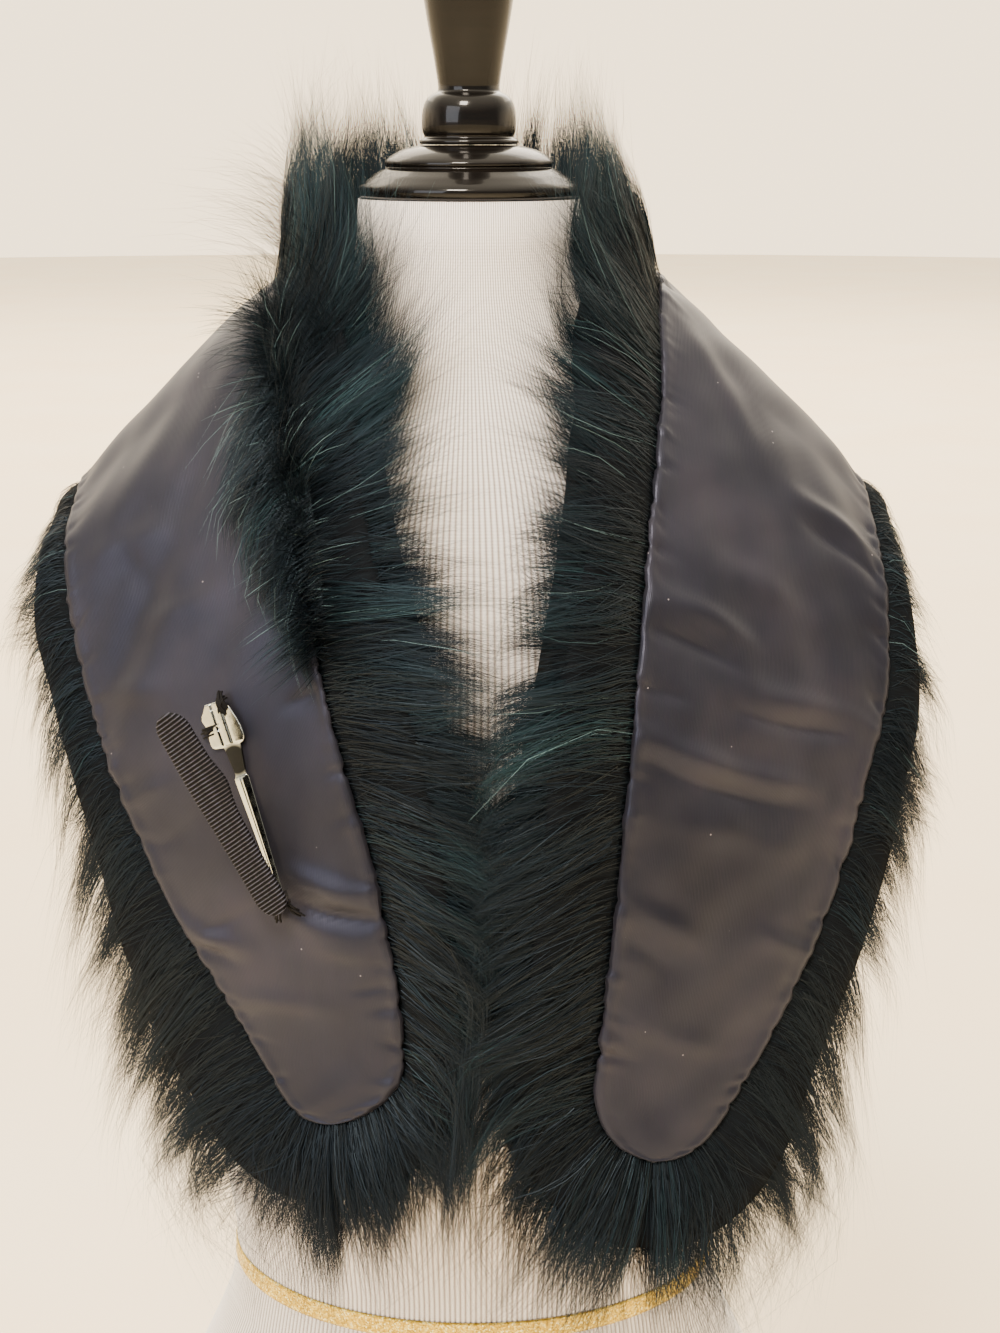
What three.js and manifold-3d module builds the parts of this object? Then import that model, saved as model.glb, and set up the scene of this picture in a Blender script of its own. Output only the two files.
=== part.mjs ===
// Fur collar wrap, worn lining side out, on a limbless dress form.
// Millimetres, +Z up. The origin is the centre of the form's flat base, the front faces -Y,
// and the onlooker's right is +X.
import * as THREE from 'three';
import Module from 'manifold-3d';
import { mergeVertices } from 'three/addons/utils/BufferGeometryUtils.js';

// Driving sizes
const seamGap = 0.3;             // between pieces that touch
const liningThick = 1.8;         // satin, its turned edge and the pelt behind it
const formGap = 0.4;             // between the form and what lies on it
const formSides = 40;            // facets round the form
const stationCount = 60;         // sections along half of the wrap, centre back to tip
const tipStations = 8;           // of them, those that round the tip
const acrossCount = 6;           // steps across the lining
const rowPitch = 42;             // between two rows of the wrap's tables, on average
const lockPitch = 27;            // spacing of the fur's larger locks along its edge
const lockDepth = { inner: 0.16, outer: 0.42 };
const furSwell = { inner: 7, outer: 4 };  // how far the fur puffs up beside the lining
const ribbonTop = 240;           // top of the waist ribbon
const ribbonWide = 10;
const ribbonThick = 0.9;
const neckTop = 743.8;            // where the turned cap sits on the neck
const neckRadius = 48.5;
const lipClear = 49.8;           // radius kept free of fur beside the cap's lip

const colours = {
  knit: 0xf3ebe6, lacquer: 0x171412, gold: 0xd9b24f, satin: 0x57504e,
  fur: 0x1c2a2d, steel: 0xc9ccc8, grosgrain: 0x3a3338,
};

// Dress form: half width, depth to the front and depth to the back at each height
const formRows = [
  { z: 0, side: 168, front: 112, back: 122 },
  { z: 60, side: 170, front: 112, back: 125 },
  { z: 120, side: 160, front: 106, back: 120 },
  { z: 176, side: 137, front: 97, back: 104 },
  { z: 205, side: 124, front: 91, back: 95 },
  { z: 235, side: 118, front: 87.5, back: 88 },
  { z: 270, side: 121, front: 91, back: 86 },
  { z: 320, side: 129, front: 101, back: 88 },
  { z: 380, side: 137, front: 113, back: 93 },
  { z: 440, side: 142, front: 121, back: 98 },
  { z: 490, side: 143, front: 120, back: 100 },
  { z: 540, side: 142, front: 109, back: 98 },
  { z: 590, side: 134, front: 92, back: 90 },
  { z: 620, side: 118, front: 80, back: 80 },
  { z: 650, side: 92, front: 67, back: 68 },
  { z: 675, side: 70, front: 57.5, back: 58 },
  { z: 700, side: 56, front: 51.5, back: 51.5 },
  { z: 720, side: 50.5, front: 49.4, back: 49.4 },
  { z: neckTop, side: neckRadius, front: neckRadius, back: neckRadius },
];

// Half of the wrap from the centre back to the last full section before its rounded tip.
// ix iy iz: the lining's neck edge. ox oy oz: its outer edge. crown: how far its middle arches.
// inFur, outFur: how far the fur shows beyond each edge. inLift, outLift: degrees that this fur
// leans away from the form. flop: how far it falls back over the lining. pile: its depth beneath.
const backRows = [
  { ix: 0, iy: 86, iz: 714, ox: 0, oy: 124, oz: 598, crown: 5,
    inFur: 58, inLift: 20, outFur: 46, outLift: -16, flop: 0, pile: 46 },
  { ix: 35, iy: 79, iz: 714, ox: 60, oy: 119, oz: 596, crown: 5,
    inFur: 59, inLift: 20, outFur: 46, outLift: -18, flop: 0, pile: 46 },
  { ix: 62, iy: 60, iz: 713, ox: 115, oy: 96, oz: 598, crown: 5,
    inFur: 59, inLift: 20, outFur: 42, outLift: -22, flop: 0, pile: 46 },
  { ix: 79, iy: 31, iz: 711, ox: 154, oy: 50, oz: 610, crown: 4,
    inFur: 62, inLift: 18, outFur: 34, outLift: -30, flop: 0, pile: 44 },
];
const rightRows = [
  { ix: 83, iy: 0, iz: 708, ox: 174, oy: -2, oz: 621, crown: 3,
    inFur: 62, inLift: 14, outFur: 26, outLift: -34, flop: 0, pile: 42 },
  { ix: 81.5, iy: -30, iz: 690, ox: 178, oy: -30, oz: 607, crown: 3,
    inFur: 58, inLift: 8, outFur: 20, outLift: -24, flop: 0, pile: 40 },
  { ix: 81, iy: -54, iz: 665, ox: 180, oy: -56, oz: 585, crown: 3,
    inFur: 52, inLift: 2, outFur: 20, outLift: -12, flop: 0, pile: 40 },
  { ix: 77, iy: -80, iz: 637, ox: 180.5, oy: -71, oz: 556, crown: 3,
    inFur: 50, inLift: 0, outFur: 25, outLift: -6, flop: 0, pile: 40 },
  { ix: 72.5, iy: -104, iz: 606, ox: 178, oy: -80, oz: 532, crown: 3,
    inFur: 50, inLift: -4, outFur: 31, outLift: -4, flop: 0, pile: 40 },
  { ix: 68, iy: -128, iz: 562, ox: 170, oy: -91, oz: 509, crown: 3,
    inFur: 54, inLift: -9, outFur: 35, outLift: -4, flop: 0, pile: 40 },
  { ix: 64, iy: -140, iz: 520, ox: 160.5, oy: -101, oz: 473, crown: 3,
    inFur: 58, inLift: -12, outFur: 38, outLift: -4, flop: 0, pile: 44 },
  { ix: 60, iy: -146, iz: 474, ox: 147, oy: -113, oz: 440, crown: 3,
    inFur: 60, inLift: -12, outFur: 42, outLift: -4, flop: 0, pile: 48 },
  { ix: 55, iy: -149, iz: 424, ox: 129, oy: -124, oz: 404, crown: 2.5,
    inFur: 60, inLift: -10, outFur: 47, outLift: -4, flop: 0, pile: 54 },
  { ix: 52, iy: -149.5, iz: 396, ox: 114, oy: -133, oz: 380, crown: 2,
    inFur: 62, inLift: -8, outFur: 58, outLift: -4, flop: 0, pile: 56 },
];
const leftRows = [
  { ix: 83, iy: 0, iz: 708, ox: 173, oy: -2, oz: 620, crown: 3,
    inFur: 66, inLift: 26, outFur: 26, outLift: -34, flop: 4, pile: 44 },
  { ix: 80, iy: -30, iz: 690, ox: 175, oy: -30, oz: 611, crown: 3,
    inFur: 60, inLift: 14, outFur: 20, outLift: -24, flop: 16, pile: 42 },
  { ix: 77, iy: -54, iz: 665, ox: 175, oy: -52, oz: 597, crown: 3,
    inFur: 58, inLift: 4, outFur: 22, outLift: -12, flop: 24, pile: 40 },
  { ix: 72, iy: -80, iz: 637, ox: 171, oy: -65, oz: 570, crown: 3,
    inFur: 57, inLift: 0, outFur: 33, outLift: -6, flop: 32, pile: 40 },
  { ix: 66, iy: -104, iz: 606, ox: 164.5, oy: -76, oz: 544, crown: 3,
    inFur: 58, inLift: -4, outFur: 31, outLift: -4, flop: 24, pile: 40 },
  { ix: 57.5, iy: -129, iz: 562, ox: 153.5, oy: -89, oz: 512, crown: 3,
    inFur: 62, inLift: -9, outFur: 35, outLift: -4, flop: 4, pile: 40 },
  { ix: 47, iy: -140, iz: 523, ox: 139, oy: -100, oz: 480, crown: 3,
    inFur: 60, inLift: -12, outFur: 44, outLift: -4, flop: 0, pile: 44 },
  { ix: 36.5, iy: -145.5, iz: 485, ox: 123, oy: -110, oz: 449, crown: 3,
    inFur: 52, inLift: -12, outFur: 57, outLift: -4, flop: 0, pile: 48 },
  { ix: 28, iy: -148.5, iz: 440, ox: 104, oy: -119, oz: 419, crown: 2.5,
    inFur: 46, inLift: -10, outFur: 68, outLift: -4, flop: 0, pile: 52 },
  { ix: 25, iy: -149, iz: 408, ox: 87, oy: -128, oz: 393, crown: 2,
    inFur: 48, inLift: -8, outFur: 69, outLift: -4, flop: 0, pile: 54 },
];

// Each front: its rows, the point of the lining's tip and the fur's length below it
const fronts = {
  right: { sign: 1, rows: [...backRows, ...rightRows], tip: [77, -149, 357], tipFur: 66 },
  left: { sign: -1, rows: [...backRows, ...leftRows], tip: [56, -143.5, 371], tipFur: 56 },
};

// Where the two fronts' fur meets on the chest: a plane from one height to another
const parting = { xHigh: 12.3, zHigh: 536, xLow: -5.1, zLow: 394, yFrom: -210, yTo: -98 };

// The lining's largest folds: station along the rows, place across (0 neck edge, 1 outer edge),
// the same at the far end, depth (below zero is a trough) and half width
const folds = {
  left: [
    { row: 11.15, across: 0.42, endRow: 10.75, endAcross: 0.04, depth: 2.4, wide: 7 },
    { row: 11.3, across: 0.36, endRow: 10.95, endAcross: 0.04, depth: -1.1, wide: 5 },
    { row: 7.6, across: 0.85, endRow: 8.5, endAcross: 0.7, depth: -0.9, wide: 9 },
    { row: 12.1, across: 0.85, endRow: 11.6, endAcross: 0.6, depth: 1.4, wide: 6 },
  ],
  right: [
    { row: 7.0, across: 0.62, endRow: 8.1, endAcross: 0.92, depth: 1.8, wide: 7 },
    { row: 8.2, across: 0.05, endRow: 8.5, endAcross: 0.4, depth: 1.8, wide: 6 },
    { row: 9.4, across: 0.35, endRow: 10.1, endAcross: 0.75, depth: 2.0, wide: 7 },
    { row: 9.9, across: 0.05, endRow: 10.4, endAcross: 0.72, depth: -1.1, wide: 7 },
    { row: 11.5, across: 0.12, endRow: 11.9, endAcross: 0.45, depth: 1.8, wide: 6 },
    { row: 11.2, across: 0.8, endRow: 11.6, endAcross: 0.98, depth: 1.6, wide: 5 },
  ],
};

// Turned neck cap and finial: outer profile as radius and height
const capProfile = [
  [0, 744.1], [46.5, 744.1], [48.6, 745.6], [49, 747.4], [47.8, 750], [43.5, 753.2], [38.6, 756],
  [36.4, 757.4], [37.2, 758.7], [36.4, 760.2], [31, 763.8], [24.5, 765.7], [22, 766.4], [0, 766.4],
];
const finialProfile = [
  [0, 766.7], [21.2, 766.7], [21.6, 768.3], [19.6, 770], [20.4, 773], [20.4, 781], [18.6, 785.4],
  [15.2, 788], [13.5, 790], [14.6, 799], [17, 813], [19.3, 826], [21, 842], [21, 850],
  [18.6, 859], [13, 867], [6, 871.2], [0, 872],
];

// Spring clip on the left front: two thin arms hinged at their lower end.
// The metal arm is sewn to the lining and the ribbon-covered one stands away from it.
const clip = {
  hingeRow: 11, hingeAcross: 0.42,      // where the pin stands over the lining
  headRow: 9.02, headAcross: 0.435,      // where the metal arm's head points
  metalThick: 0.9, metalLong: 84, headHalf: 9.4, skew: 2,
  pinRadius: 0.8, pinHeight: 3.6, pinLong: 6.4,
  earOut: 3.2, earIn: 2.4, knuckleRadius: 1.9, knuckleHalf: 2.1,
  armLong: 95, armWide: 16, armThick: 3, armTail: 5, armRise: 2.7, openAngle: 16,
};
// Half widths of the metal arm from the pin to its head, left and right of its middle
const metalOutline = [
  { at: -2, left: 1.6, right: 1.6 }, { at: 4, left: 1.7, right: 1.7 },
  { at: 50, left: 3.6, right: 3.6 }, { at: 52, left: 2.9, right: 2.9 },
  { at: 53, left: 2.4, right: 2.6 }, { at: 65, left: 3.6, right: 4.6 },
  { at: 66, left: 8.4, right: 7.2 }, { at: 68, left: 9, right: 8.2 },
  { at: 72, left: 8.6, right: 8 }, { at: 73.4, left: 5.2, right: 7.7 },
  { at: 75, left: 8.4, right: 7.4 }, { at: 78, left: 9.4, right: 6.4 },
  { at: 81, left: 7.6, right: 5.2 }, { at: 84, left: 5.4, right: 0.6 },
];

const wasm = await Module();
wasm.setup();

// Smooth curve through one column of a table, at a place counted in rows
function column(rows, key, place) {
  const at = Math.min(Math.max(place, 0), rows.length - 1);
  const i = Math.min(Math.floor(at), rows.length - 2);
  const f = at - i;
  const p1 = rows[i][key];
  const p2 = rows[i + 1][key];
  const p0 = i > 0 ? rows[i - 1][key] : 2 * p1 - p2;
  const p3 = i + 2 < rows.length ? rows[i + 2][key] : 2 * p2 - p1;
  const slope1 = (p2 - p0) / 2;
  const slope2 = (p3 - p1) / 2;
  const f2 = f * f;
  const f3 = f2 * f;
  return (2 * f3 - 3 * f2 + 1) * p1 + (f3 - 2 * f2 + f) * slope1
    + (3 * f2 - 2 * f3) * p2 + (f3 - f2) * slope2;
}

function edgePoint(rows, sign, place, edge) {
  const keys = edge === 'in' ? ['ix', 'iy', 'iz'] : ['ox', 'oy', 'oz'];
  const [x, y, z] = keys.map((key) => column(rows, key, place));
  return new THREE.Vector3(sign * (x + seamGap / 2), y, z);
}

// The stations of one half: both edges, the surface's outward normal and the fur's columns
function makeStations(front) {
  const { rows, sign } = front;
  const lastRow = rows.length - 1;
  const fullCount = stationCount - tipStations;
  const stations = [];
  for (let k = 0; k <= fullCount; k += 1) {
    const place = (lastRow * k) / fullCount;
    stations.push({ place, inner: edgePoint(rows, sign, place, 'in'),
      outer: edgePoint(rows, sign, place, 'out'), narrow: 1 });
  }
  const last = stations[fullCount];
  const middle = last.inner.clone().add(last.outer).multiplyScalar(0.5);
  const half = last.outer.clone().sub(last.inner).multiplyScalar(0.5);
  const tip = new THREE.Vector3(sign * front.tip[0], front.tip[1], front.tip[2]);
  for (let k = 1; k <= tipStations; k += 1) {
    const turn = (Math.PI / 2) * (k / tipStations);
    const centre = middle.clone().lerp(tip, Math.sin(turn));
    const narrow = k < tipStations ? Math.cos(turn) : 0;
    stations.push({ place: lastRow, narrow,
      inner: centre.clone().addScaledVector(half, -narrow),
      outer: centre.clone().addScaledVector(half, narrow) });
  }
  // Before the centre back comes the mirror image of the first station after it
  const mirrored = Object.fromEntries(['inner', 'outer'].map((edge) => [edge,
    stations[1][edge].clone().multiply(new THREE.Vector3(-1, 1, 1))]));
  stations.forEach((s, k) => {
    const before = k > 0 ? stations[k - 1] : mirrored;
    const after = stations[Math.min(k + 1, stationCount)];
    const across = (s.narrow > 0.05 ? s.outer.clone().sub(s.inner) : half.clone()).normalize();
    const along = after.inner.clone().add(after.outer).sub(before.inner).sub(before.outer);
    s.normal = along.clone().cross(across).normalize().multiplyScalar(sign);
    s.width = s.inner.distanceTo(s.outer);
    s.sides = ['inner', 'outer'].map((edge) => {
      const tangent = after[edge].clone().sub(before[edge]).normalize();
      const away = tangent.cross(s.normal).normalize();
      const outward = edge === 'inner' ? -1 : 1;
      return away.multiplyScalar(Math.sign(away.dot(across)) * outward || 1);
    });
    for (const key of ['crown', 'inFur', 'inLift', 'outFur', 'outLift', 'flop', 'pile']) {
      s[key] = column(rows, key, s.place);
    }
    s.crown *= s.narrow;
    const length = Math.max(k - fullCount, 0) / tipStations;
    s.inFur += (front.tipFur - s.inFur) * length;
    s.outFur += (front.tipFur - s.outFur) * length;
    s.inLift *= 1 - length;
    s.outLift *= 1 - length;
  });
  const end = stations[stationCount];
  const down = tip.clone().sub(middle).normalize();
  end.sides = [down, down];
  return stations;
}

// A point of the wrap's surface: across 0 to 1 from the neck edge, out along the normal
function surfacePoint(s, across, out) {
  const arch = s.crown * (1 - (2 * across - 1) ** 2);
  return s.inner.clone().lerp(s.outer, across).addScaledVector(s.normal, arch + out);
}

// Height of the folds at one place: each is a soft ridge or trough along its own line
function foldHeight(list, place, across, width) {
  let height = 0;
  for (const fold of list) {
    const length = new THREE.Vector2((fold.endRow - fold.row) * rowPitch,
      (fold.endAcross - fold.across) * width);
    const reach = new THREE.Vector2((place - fold.row) * rowPitch, (across - fold.across) * width);
    const f = Math.min(Math.max(reach.dot(length) / length.lengthSq(), 0), 1);
    const off = reach.sub(length.multiplyScalar(f)).length() / fold.wide;
    height += fold.depth * Math.exp(-off * off) * Math.sin(Math.PI * (0.12 + 0.76 * f));
  }
  return height;
}

// Pointed locks along the edge: 1 at a lock's tip and less between two
function lockShape(distance, depth) {
  const f = (distance / lockPitch) % 1;
  const uneven = 0.75 + 0.25 * Math.sin(distance * 0.071);
  return 1 - depth * uneven * Math.abs(2 * f - 1);
}

// Closed mesh from rings of equal length; caps: lists of triangles over a ring's indices
function ringsGeometry(rings, startCap, endCap) {
  const count = rings[0].length;
  const positions = [];
  const indices = [];
  rings.forEach((ring) => ring.forEach((p) => positions.push(p.x, p.y, p.z)));
  for (let k = 0; k + 1 < rings.length; k += 1) {
    for (let j = 0; j < count; j += 1) {
      const a = k * count + j;
      const b = k * count + ((j + 1) % count);
      indices.push(a, b, b + count, a, b + count, a + count);
    }
  }
  const endBase = (rings.length - 1) * count;
  startCap.forEach(([a, b, c]) => indices.push(a, c, b));
  endCap.forEach(([a, b, c]) => indices.push(endBase + a, endBase + b, endBase + c));
  const geometry = new THREE.BufferGeometry();
  geometry.setAttribute('position', new THREE.Float32BufferAttribute(positions, 3));
  geometry.setIndex(indices);
  return turnedOutward(dropThin(mergeVertices(geometry, 1e-3)));
}

// Merging leaves triangles of two or one points where the wrap's tip closes: they go
function dropThin(geometry) {
  const index = geometry.getIndex().array;
  const kept = [];
  for (let i = 0; i < index.length; i += 3) {
    const [a, b, c] = [index[i], index[i + 1], index[i + 2]];
    if (a !== b && b !== c && a !== c) kept.push(a, b, c);
  }
  geometry.setIndex(kept);
  return geometry;
}

// Turns a closed mesh's faces outward, told by the sign of its volume
function turnedOutward(geometry) {
  const p = geometry.getAttribute('position');
  const index = geometry.getIndex().array;
  const corner = [0, 1, 2].map(() => new THREE.Vector3());
  let volume = 0;
  for (let i = 0; i < index.length; i += 3) {
    corner.forEach((v, k) => v.fromBufferAttribute(p, index[i + k]));
    volume += corner[0].dot(corner[1].clone().cross(corner[2]));
  }
  if (volume < 0) {
    const turned = [];
    for (let i = 0; i < index.length; i += 3) turned.push(index[i], index[i + 2], index[i + 1]);
    geometry.setIndex(turned);
  }
  geometry.computeVertexNormals();
  return geometry;
}

// The lining: a wall whose outer face carries the folds and whose rims are thinner
function liningGeometry(stations, list) {
  const rings = stations.map((s) => {
    const outside = [];
    const inside = [];
    for (let j = 0; j <= acrossCount; j += 1) {
      const across = j / acrossCount;
      const rim = j === 0 || j === acrossCount;
      const fold = rim ? 0 : foldHeight(list, s.place, across, s.width) * s.narrow;
      outside.push(surfacePoint(s, across, liningThick * (rim ? 0.75 : 1) + fold));
      inside.unshift(surfacePoint(s, across, 0));
    }
    return [...outside, ...inside];
  });
  const last = 2 * acrossCount + 1;
  const cap = [];
  for (let j = 0; j < acrossCount; j += 1) {
    cap.push([j, j + 1, last - j - 1], [j, last - j - 1, last - j]);
  }
  return ringsGeometry(rings, cap, []);
}

// One section of the fur as a list of { u, v, point }: u runs across, v along the normal
function furSection(s, distance) {
  const [awayIn, awayOut] = s.sides;
  const innerDepth = lockDepth.outer + (lockDepth.inner - lockDepth.outer) * s.narrow;
  const inLong = s.inFur * lockShape(distance, innerDepth);
  const outLong = s.outFur * lockShape(distance, lockDepth.outer);
  const lobe = (edge, away, lift, long, f, v) => {
    const lean = THREE.MathUtils.degToRad(lift);
    const bend = f * f;
    return surfacePoint(s, edge, v).addScaledVector(away, f * long * Math.cos(lean * bend))
      .addScaledVector(s.normal, f * long * Math.sin(lean * bend));
  };
  const inner = (f, v) => ({ u: -f * inLong, v, point: lobe(0, awayIn, s.inLift, inLong, f, v) });
  const outer = (f, v) => (
    { u: s.width + f * outLong, v, point: lobe(1, awayOut, s.outLift, outLong, f, v) });
  const across = (a, v) => ({ u: a * s.width, v, point: surfacePoint(s, a, v) });

  const shut = Math.min(1, s.width / 30);
  const over = liningThick + seamGap + 0.2;
  const flop = Math.max(0, s.flop * shut) / Math.max(s.width, 1);
  const under = -seamGap;
  const beside = 0.04 * shut;
  const swell = furSwell.inner;
  const shoulder = inner(0.12, swell * 0.55);
  const flopTop = shut > 0 ? across(flop * 0.5 - beside, over + 1.5 + s.flop * 0.3) : shoulder;
  const flopEnd = shut > 0 ? across(flop - beside, over + 0.3) : shoulder;
  const seam = shut > 0 ? across(-beside * 1.2, over * shut) : across(0, under);
  flopTop.point.lerp(shoulder.point, 1 - shut);
  flopEnd.point.lerp(shoulder.point, 1 - shut);
  seam.point.lerp(surfacePoint(s, 0, under), 1 - shut);

  const deep = -s.pile;
  const list = [inner(1, 0), inner(0.78, swell * 0.8), inner(0.42, swell), shoulder,
    flopTop, flopEnd, seam];
  for (let j = 0; j <= 3; j += 1) list.push(across(j / 3, under));
  const outSwell = furSwell.inner + (furSwell.outer - furSwell.inner) * s.narrow;
  list.push(outer(0.12, outSwell * 0.55), outer(0.42, outSwell), outer(0.78, outSwell * 0.8));
  list.push(outer(1, 0));
  list.push(outer(0.8, deep * 0.5), outer(0.42, deep * 0.82), outer(0.12, deep * 0.97));
  for (let j = 2; j >= 1; j -= 1) list.push(across(j / 3, deep));
  list.push(inner(0.12, deep * 0.97), inner(0.42, deep * 0.82), inner(0.8, deep * 0.5));
  return list;
}

// Half of the fur: it lies beneath the lining and shows all round its edge
function furGeometry(stations) {
  let distance = 0;
  const sections = stations.map((s, k) => {
    if (k > 0) distance += s.outer.distanceTo(stations[k - 1].outer);
    return furSection(s, distance);
  });
  const outline = sections[0].map((q) => new THREE.Vector2(q.u, q.v));
  const cap = THREE.ShapeUtils.triangulateShape(outline, []).map(([a, b, c]) => [c, b, a]);
  return ringsGeometry(sections.map((list) => list.map((q) => q.point)), cap, []);
}

function solidOf(geometry) {
  const bare = geometry.clone();
  for (const name of ['normal', 'uv']) bare.deleteAttribute(name);
  const merged = dropThin(mergeVertices(bare, 1e-4));
  return new wasm.Manifold(new wasm.Mesh({ numProp: 3,
    vertProperties: Float32Array.from(merged.getAttribute('position').array),
    triVerts: Uint32Array.from(merged.getIndex().array) }));
}

function geometryOf(solid) {
  const mesh = solid.getMesh();
  const geometry = new THREE.BufferGeometry();
  geometry.setAttribute('position', new THREE.BufferAttribute(mesh.vertProperties, 3));
  geometry.setIndex(Array.from(mesh.triVerts));
  geometry.computeVertexNormals();
  return geometry;
}

function formRing(row, grow) {
  const ring = [];
  for (let j = 0; j < formSides; j += 1) {
    const turn = (2 * Math.PI * j) / formSides;
    const deep = Math.sin(turn) < 0 ? row.front : row.back;
    ring.push(new THREE.Vector3((row.side + grow) * Math.cos(turn),
      (deep + grow) * Math.sin(turn), row.z));
  }
  return ring;
}

function formGeometry(rows, grow) {
  const rings = rows.map((row) => formRing(row, grow));
  const cap = [];
  for (let j = 1; j + 1 < formSides; j += 1) cap.push([0, j, j + 1]);
  return ringsGeometry(rings, cap, cap);
}

// The space that fur keeps clear of: the form a little larger, and its neck cap
function clearanceSolid() {
  const past = { side: lipClear, front: lipClear, back: lipClear };
  const rows = [...formRows.slice(0, -1), formRowAt(neckTop - 8),
    { z: neckTop - 2, ...past }, { z: neckTop + 70, ...past }];
  return solidOf(formGeometry(rows, formGap));
}

// What lies across the parting from one front's fur
function partingSolid(sign) {
  const { xHigh, zHigh, xLow, zLow, yFrom, yTo } = parting;
  const wide = 160;
  const tall = 420;
  const box = new THREE.BoxGeometry(wide, yTo - yFrom, tall);
  box.translate(-sign * (wide / 2 - seamGap), 0, 0);
  box.rotateY(Math.atan2(xHigh - xLow, zHigh - zLow));
  box.translate((xHigh + xLow) / 2, (yFrom + yTo) / 2, (zHigh + zLow) / 2);
  return solidOf(box);
}

function formRowAt(z) {
  const i = formRows.findIndex((row) => row.z > z);
  const f = (z - formRows[i - 1].z) / (formRows[i].z - formRows[i - 1].z);
  const mix = (key) => formRows[i - 1][key] + f * (formRows[i][key] - formRows[i - 1][key]);
  return { z, side: mix('side'), front: mix('front'), back: mix('back') };
}

// A band round the waist that follows the form's own section at three heights
function ribbonGeometry() {
  const low = ribbonTop - ribbonWide;
  const waist = ribbonTop - ribbonWide / 2;
  const near = formGap;
  const far = formGap + ribbonThick;
  const section = [[low, near], [low, far], [waist, far], [ribbonTop, far], [ribbonTop, near],
    [waist, near]];
  const rings = section.map(([z, grow]) => formRing(formRowAt(z), grow));
  const positions = rings.flatMap((ring) => ring.flatMap((p) => [p.x, p.y, p.z]));
  const indices = [];
  for (let k = 0; k < section.length; k += 1) {
    const next = (k + 1) % section.length;
    for (let j = 0; j < formSides; j += 1) {
      const beside = (j + 1) % formSides;
      const [a, b] = [k * formSides + j, k * formSides + beside];
      const [c, d] = [next * formSides + beside, next * formSides + j];
      indices.push(a, b, c, a, c, d);
    }
  }
  const geometry = new THREE.BufferGeometry();
  geometry.setAttribute('position', new THREE.Float32BufferAttribute(positions, 3));
  geometry.setIndex(indices);
  return turnedOutward(geometry);
}

function turnedGeometry(profile, sides) {
  const geometry = new THREE.LatheGeometry(profile.map(([r, z]) => new THREE.Vector2(r, z)), sides);
  geometry.rotateX(Math.PI / 2);
  return turnedOutward(dropThin(mergeVertices(bareOf(geometry), 1e-3)));
}

function bareOf(geometry) {
  const bare = geometry.index ? geometry.clone() : mergeVertices(geometry);
  for (const name of ['normal', 'uv']) bare.deleteAttribute(name);
  return bare;
}

// A point of the lining's outer face, at a place counted in rows
function liningPoint(stations, row, across) {
  const k = stations.findIndex((s) => s.place > row);
  const f = (row - stations[k - 1].place) / (stations[k].place - stations[k - 1].place);
  return surfacePoint(stations[k - 1], across, liningThick)
    .lerp(surfacePoint(stations[k], across, liningThick), f);
}

// The clip's frame on the left lining: X from the pin to the head, Z away from the cloth.
// It stands just clear of the highest cloth beneath the metal arm.
function clipFrame(stations) {
  const pin = liningPoint(stations, clip.hingeRow, clip.hingeAcross);
  const head = liningPoint(stations, clip.headRow, clip.headAcross);
  const middle = stations.find((s) => s.place > (clip.hingeRow + clip.headRow) / 2);
  const xAxis = head.sub(pin).normalize();
  const zAxis = middle.normal.clone();
  zAxis.addScaledVector(xAxis, -zAxis.dot(xAxis)).normalize();
  const yAxis = zAxis.clone().cross(xAxis);
  const turn = new THREE.Matrix4().makeBasis(xAxis, yAxis, zAxis);
  let highest = 0;
  for (const s of stations) {
    for (let j = 0; j <= acrossCount; j += 0.25) {
      const place = surfacePoint(s, j / acrossCount, liningThick).sub(pin);
      const beneath = place.dot(xAxis) > -clip.armTail && place.dot(xAxis) < clip.metalLong
        && Math.abs(place.dot(yAxis)) < clip.headHalf;
      if (beneath) highest = Math.max(highest, place.dot(zAxis));
    }
  }
  return { origin: pin.addScaledVector(zAxis, highest + seamGap), turn };
}

function plate(outline, thick, bevel) {
  const geometry = new THREE.ExtrudeGeometry(outline, { depth: thick - 2 * bevel, steps: 1,
    curveSegments: 8, bevelEnabled: bevel > 0, bevelThickness: bevel, bevelSize: bevel,
    bevelOffset: -bevel, bevelSegments: 1 });
  return geometry.translate(0, 0, bevel);
}

// The metal arm with the two ears that hold the pin
function metalArmGeometry() {
  const left = metalOutline.map((row) => new THREE.Vector2(row.at, row.left));
  const right = metalOutline.map((row) => new THREE.Vector2(row.at, -row.right)).reverse();
  let solid = solidOf(bareOf(plate(new THREE.Shape([...left, ...right]), clip.metalThick, 0)));
  const ears = clip.pinHeight + clip.pinRadius + 0.6;
  for (const side of [-1, 1]) {
    const middle = (side * (clip.earIn + clip.earOut)) / 2;
    const ear = new THREE.BoxGeometry(4, clip.earOut - clip.earIn, ears);
    ear.translate(0, middle, ears / 2);
    const foot = new THREE.BoxGeometry(4, clip.earOut, clip.metalThick);
    foot.translate(0, (side * clip.earOut) / 2, clip.metalThick / 2);
    solid = solid.add(solidOf(ear)).add(solidOf(foot));
  }
  const bore = new THREE.CylinderGeometry(clip.pinRadius + seamGap, clip.pinRadius + seamGap, 12, 16);
  bore.translate(0, 0, clip.pinHeight);
  return geometryOf(solid.subtract(solidOf(bareOf(bore))));
}

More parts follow.
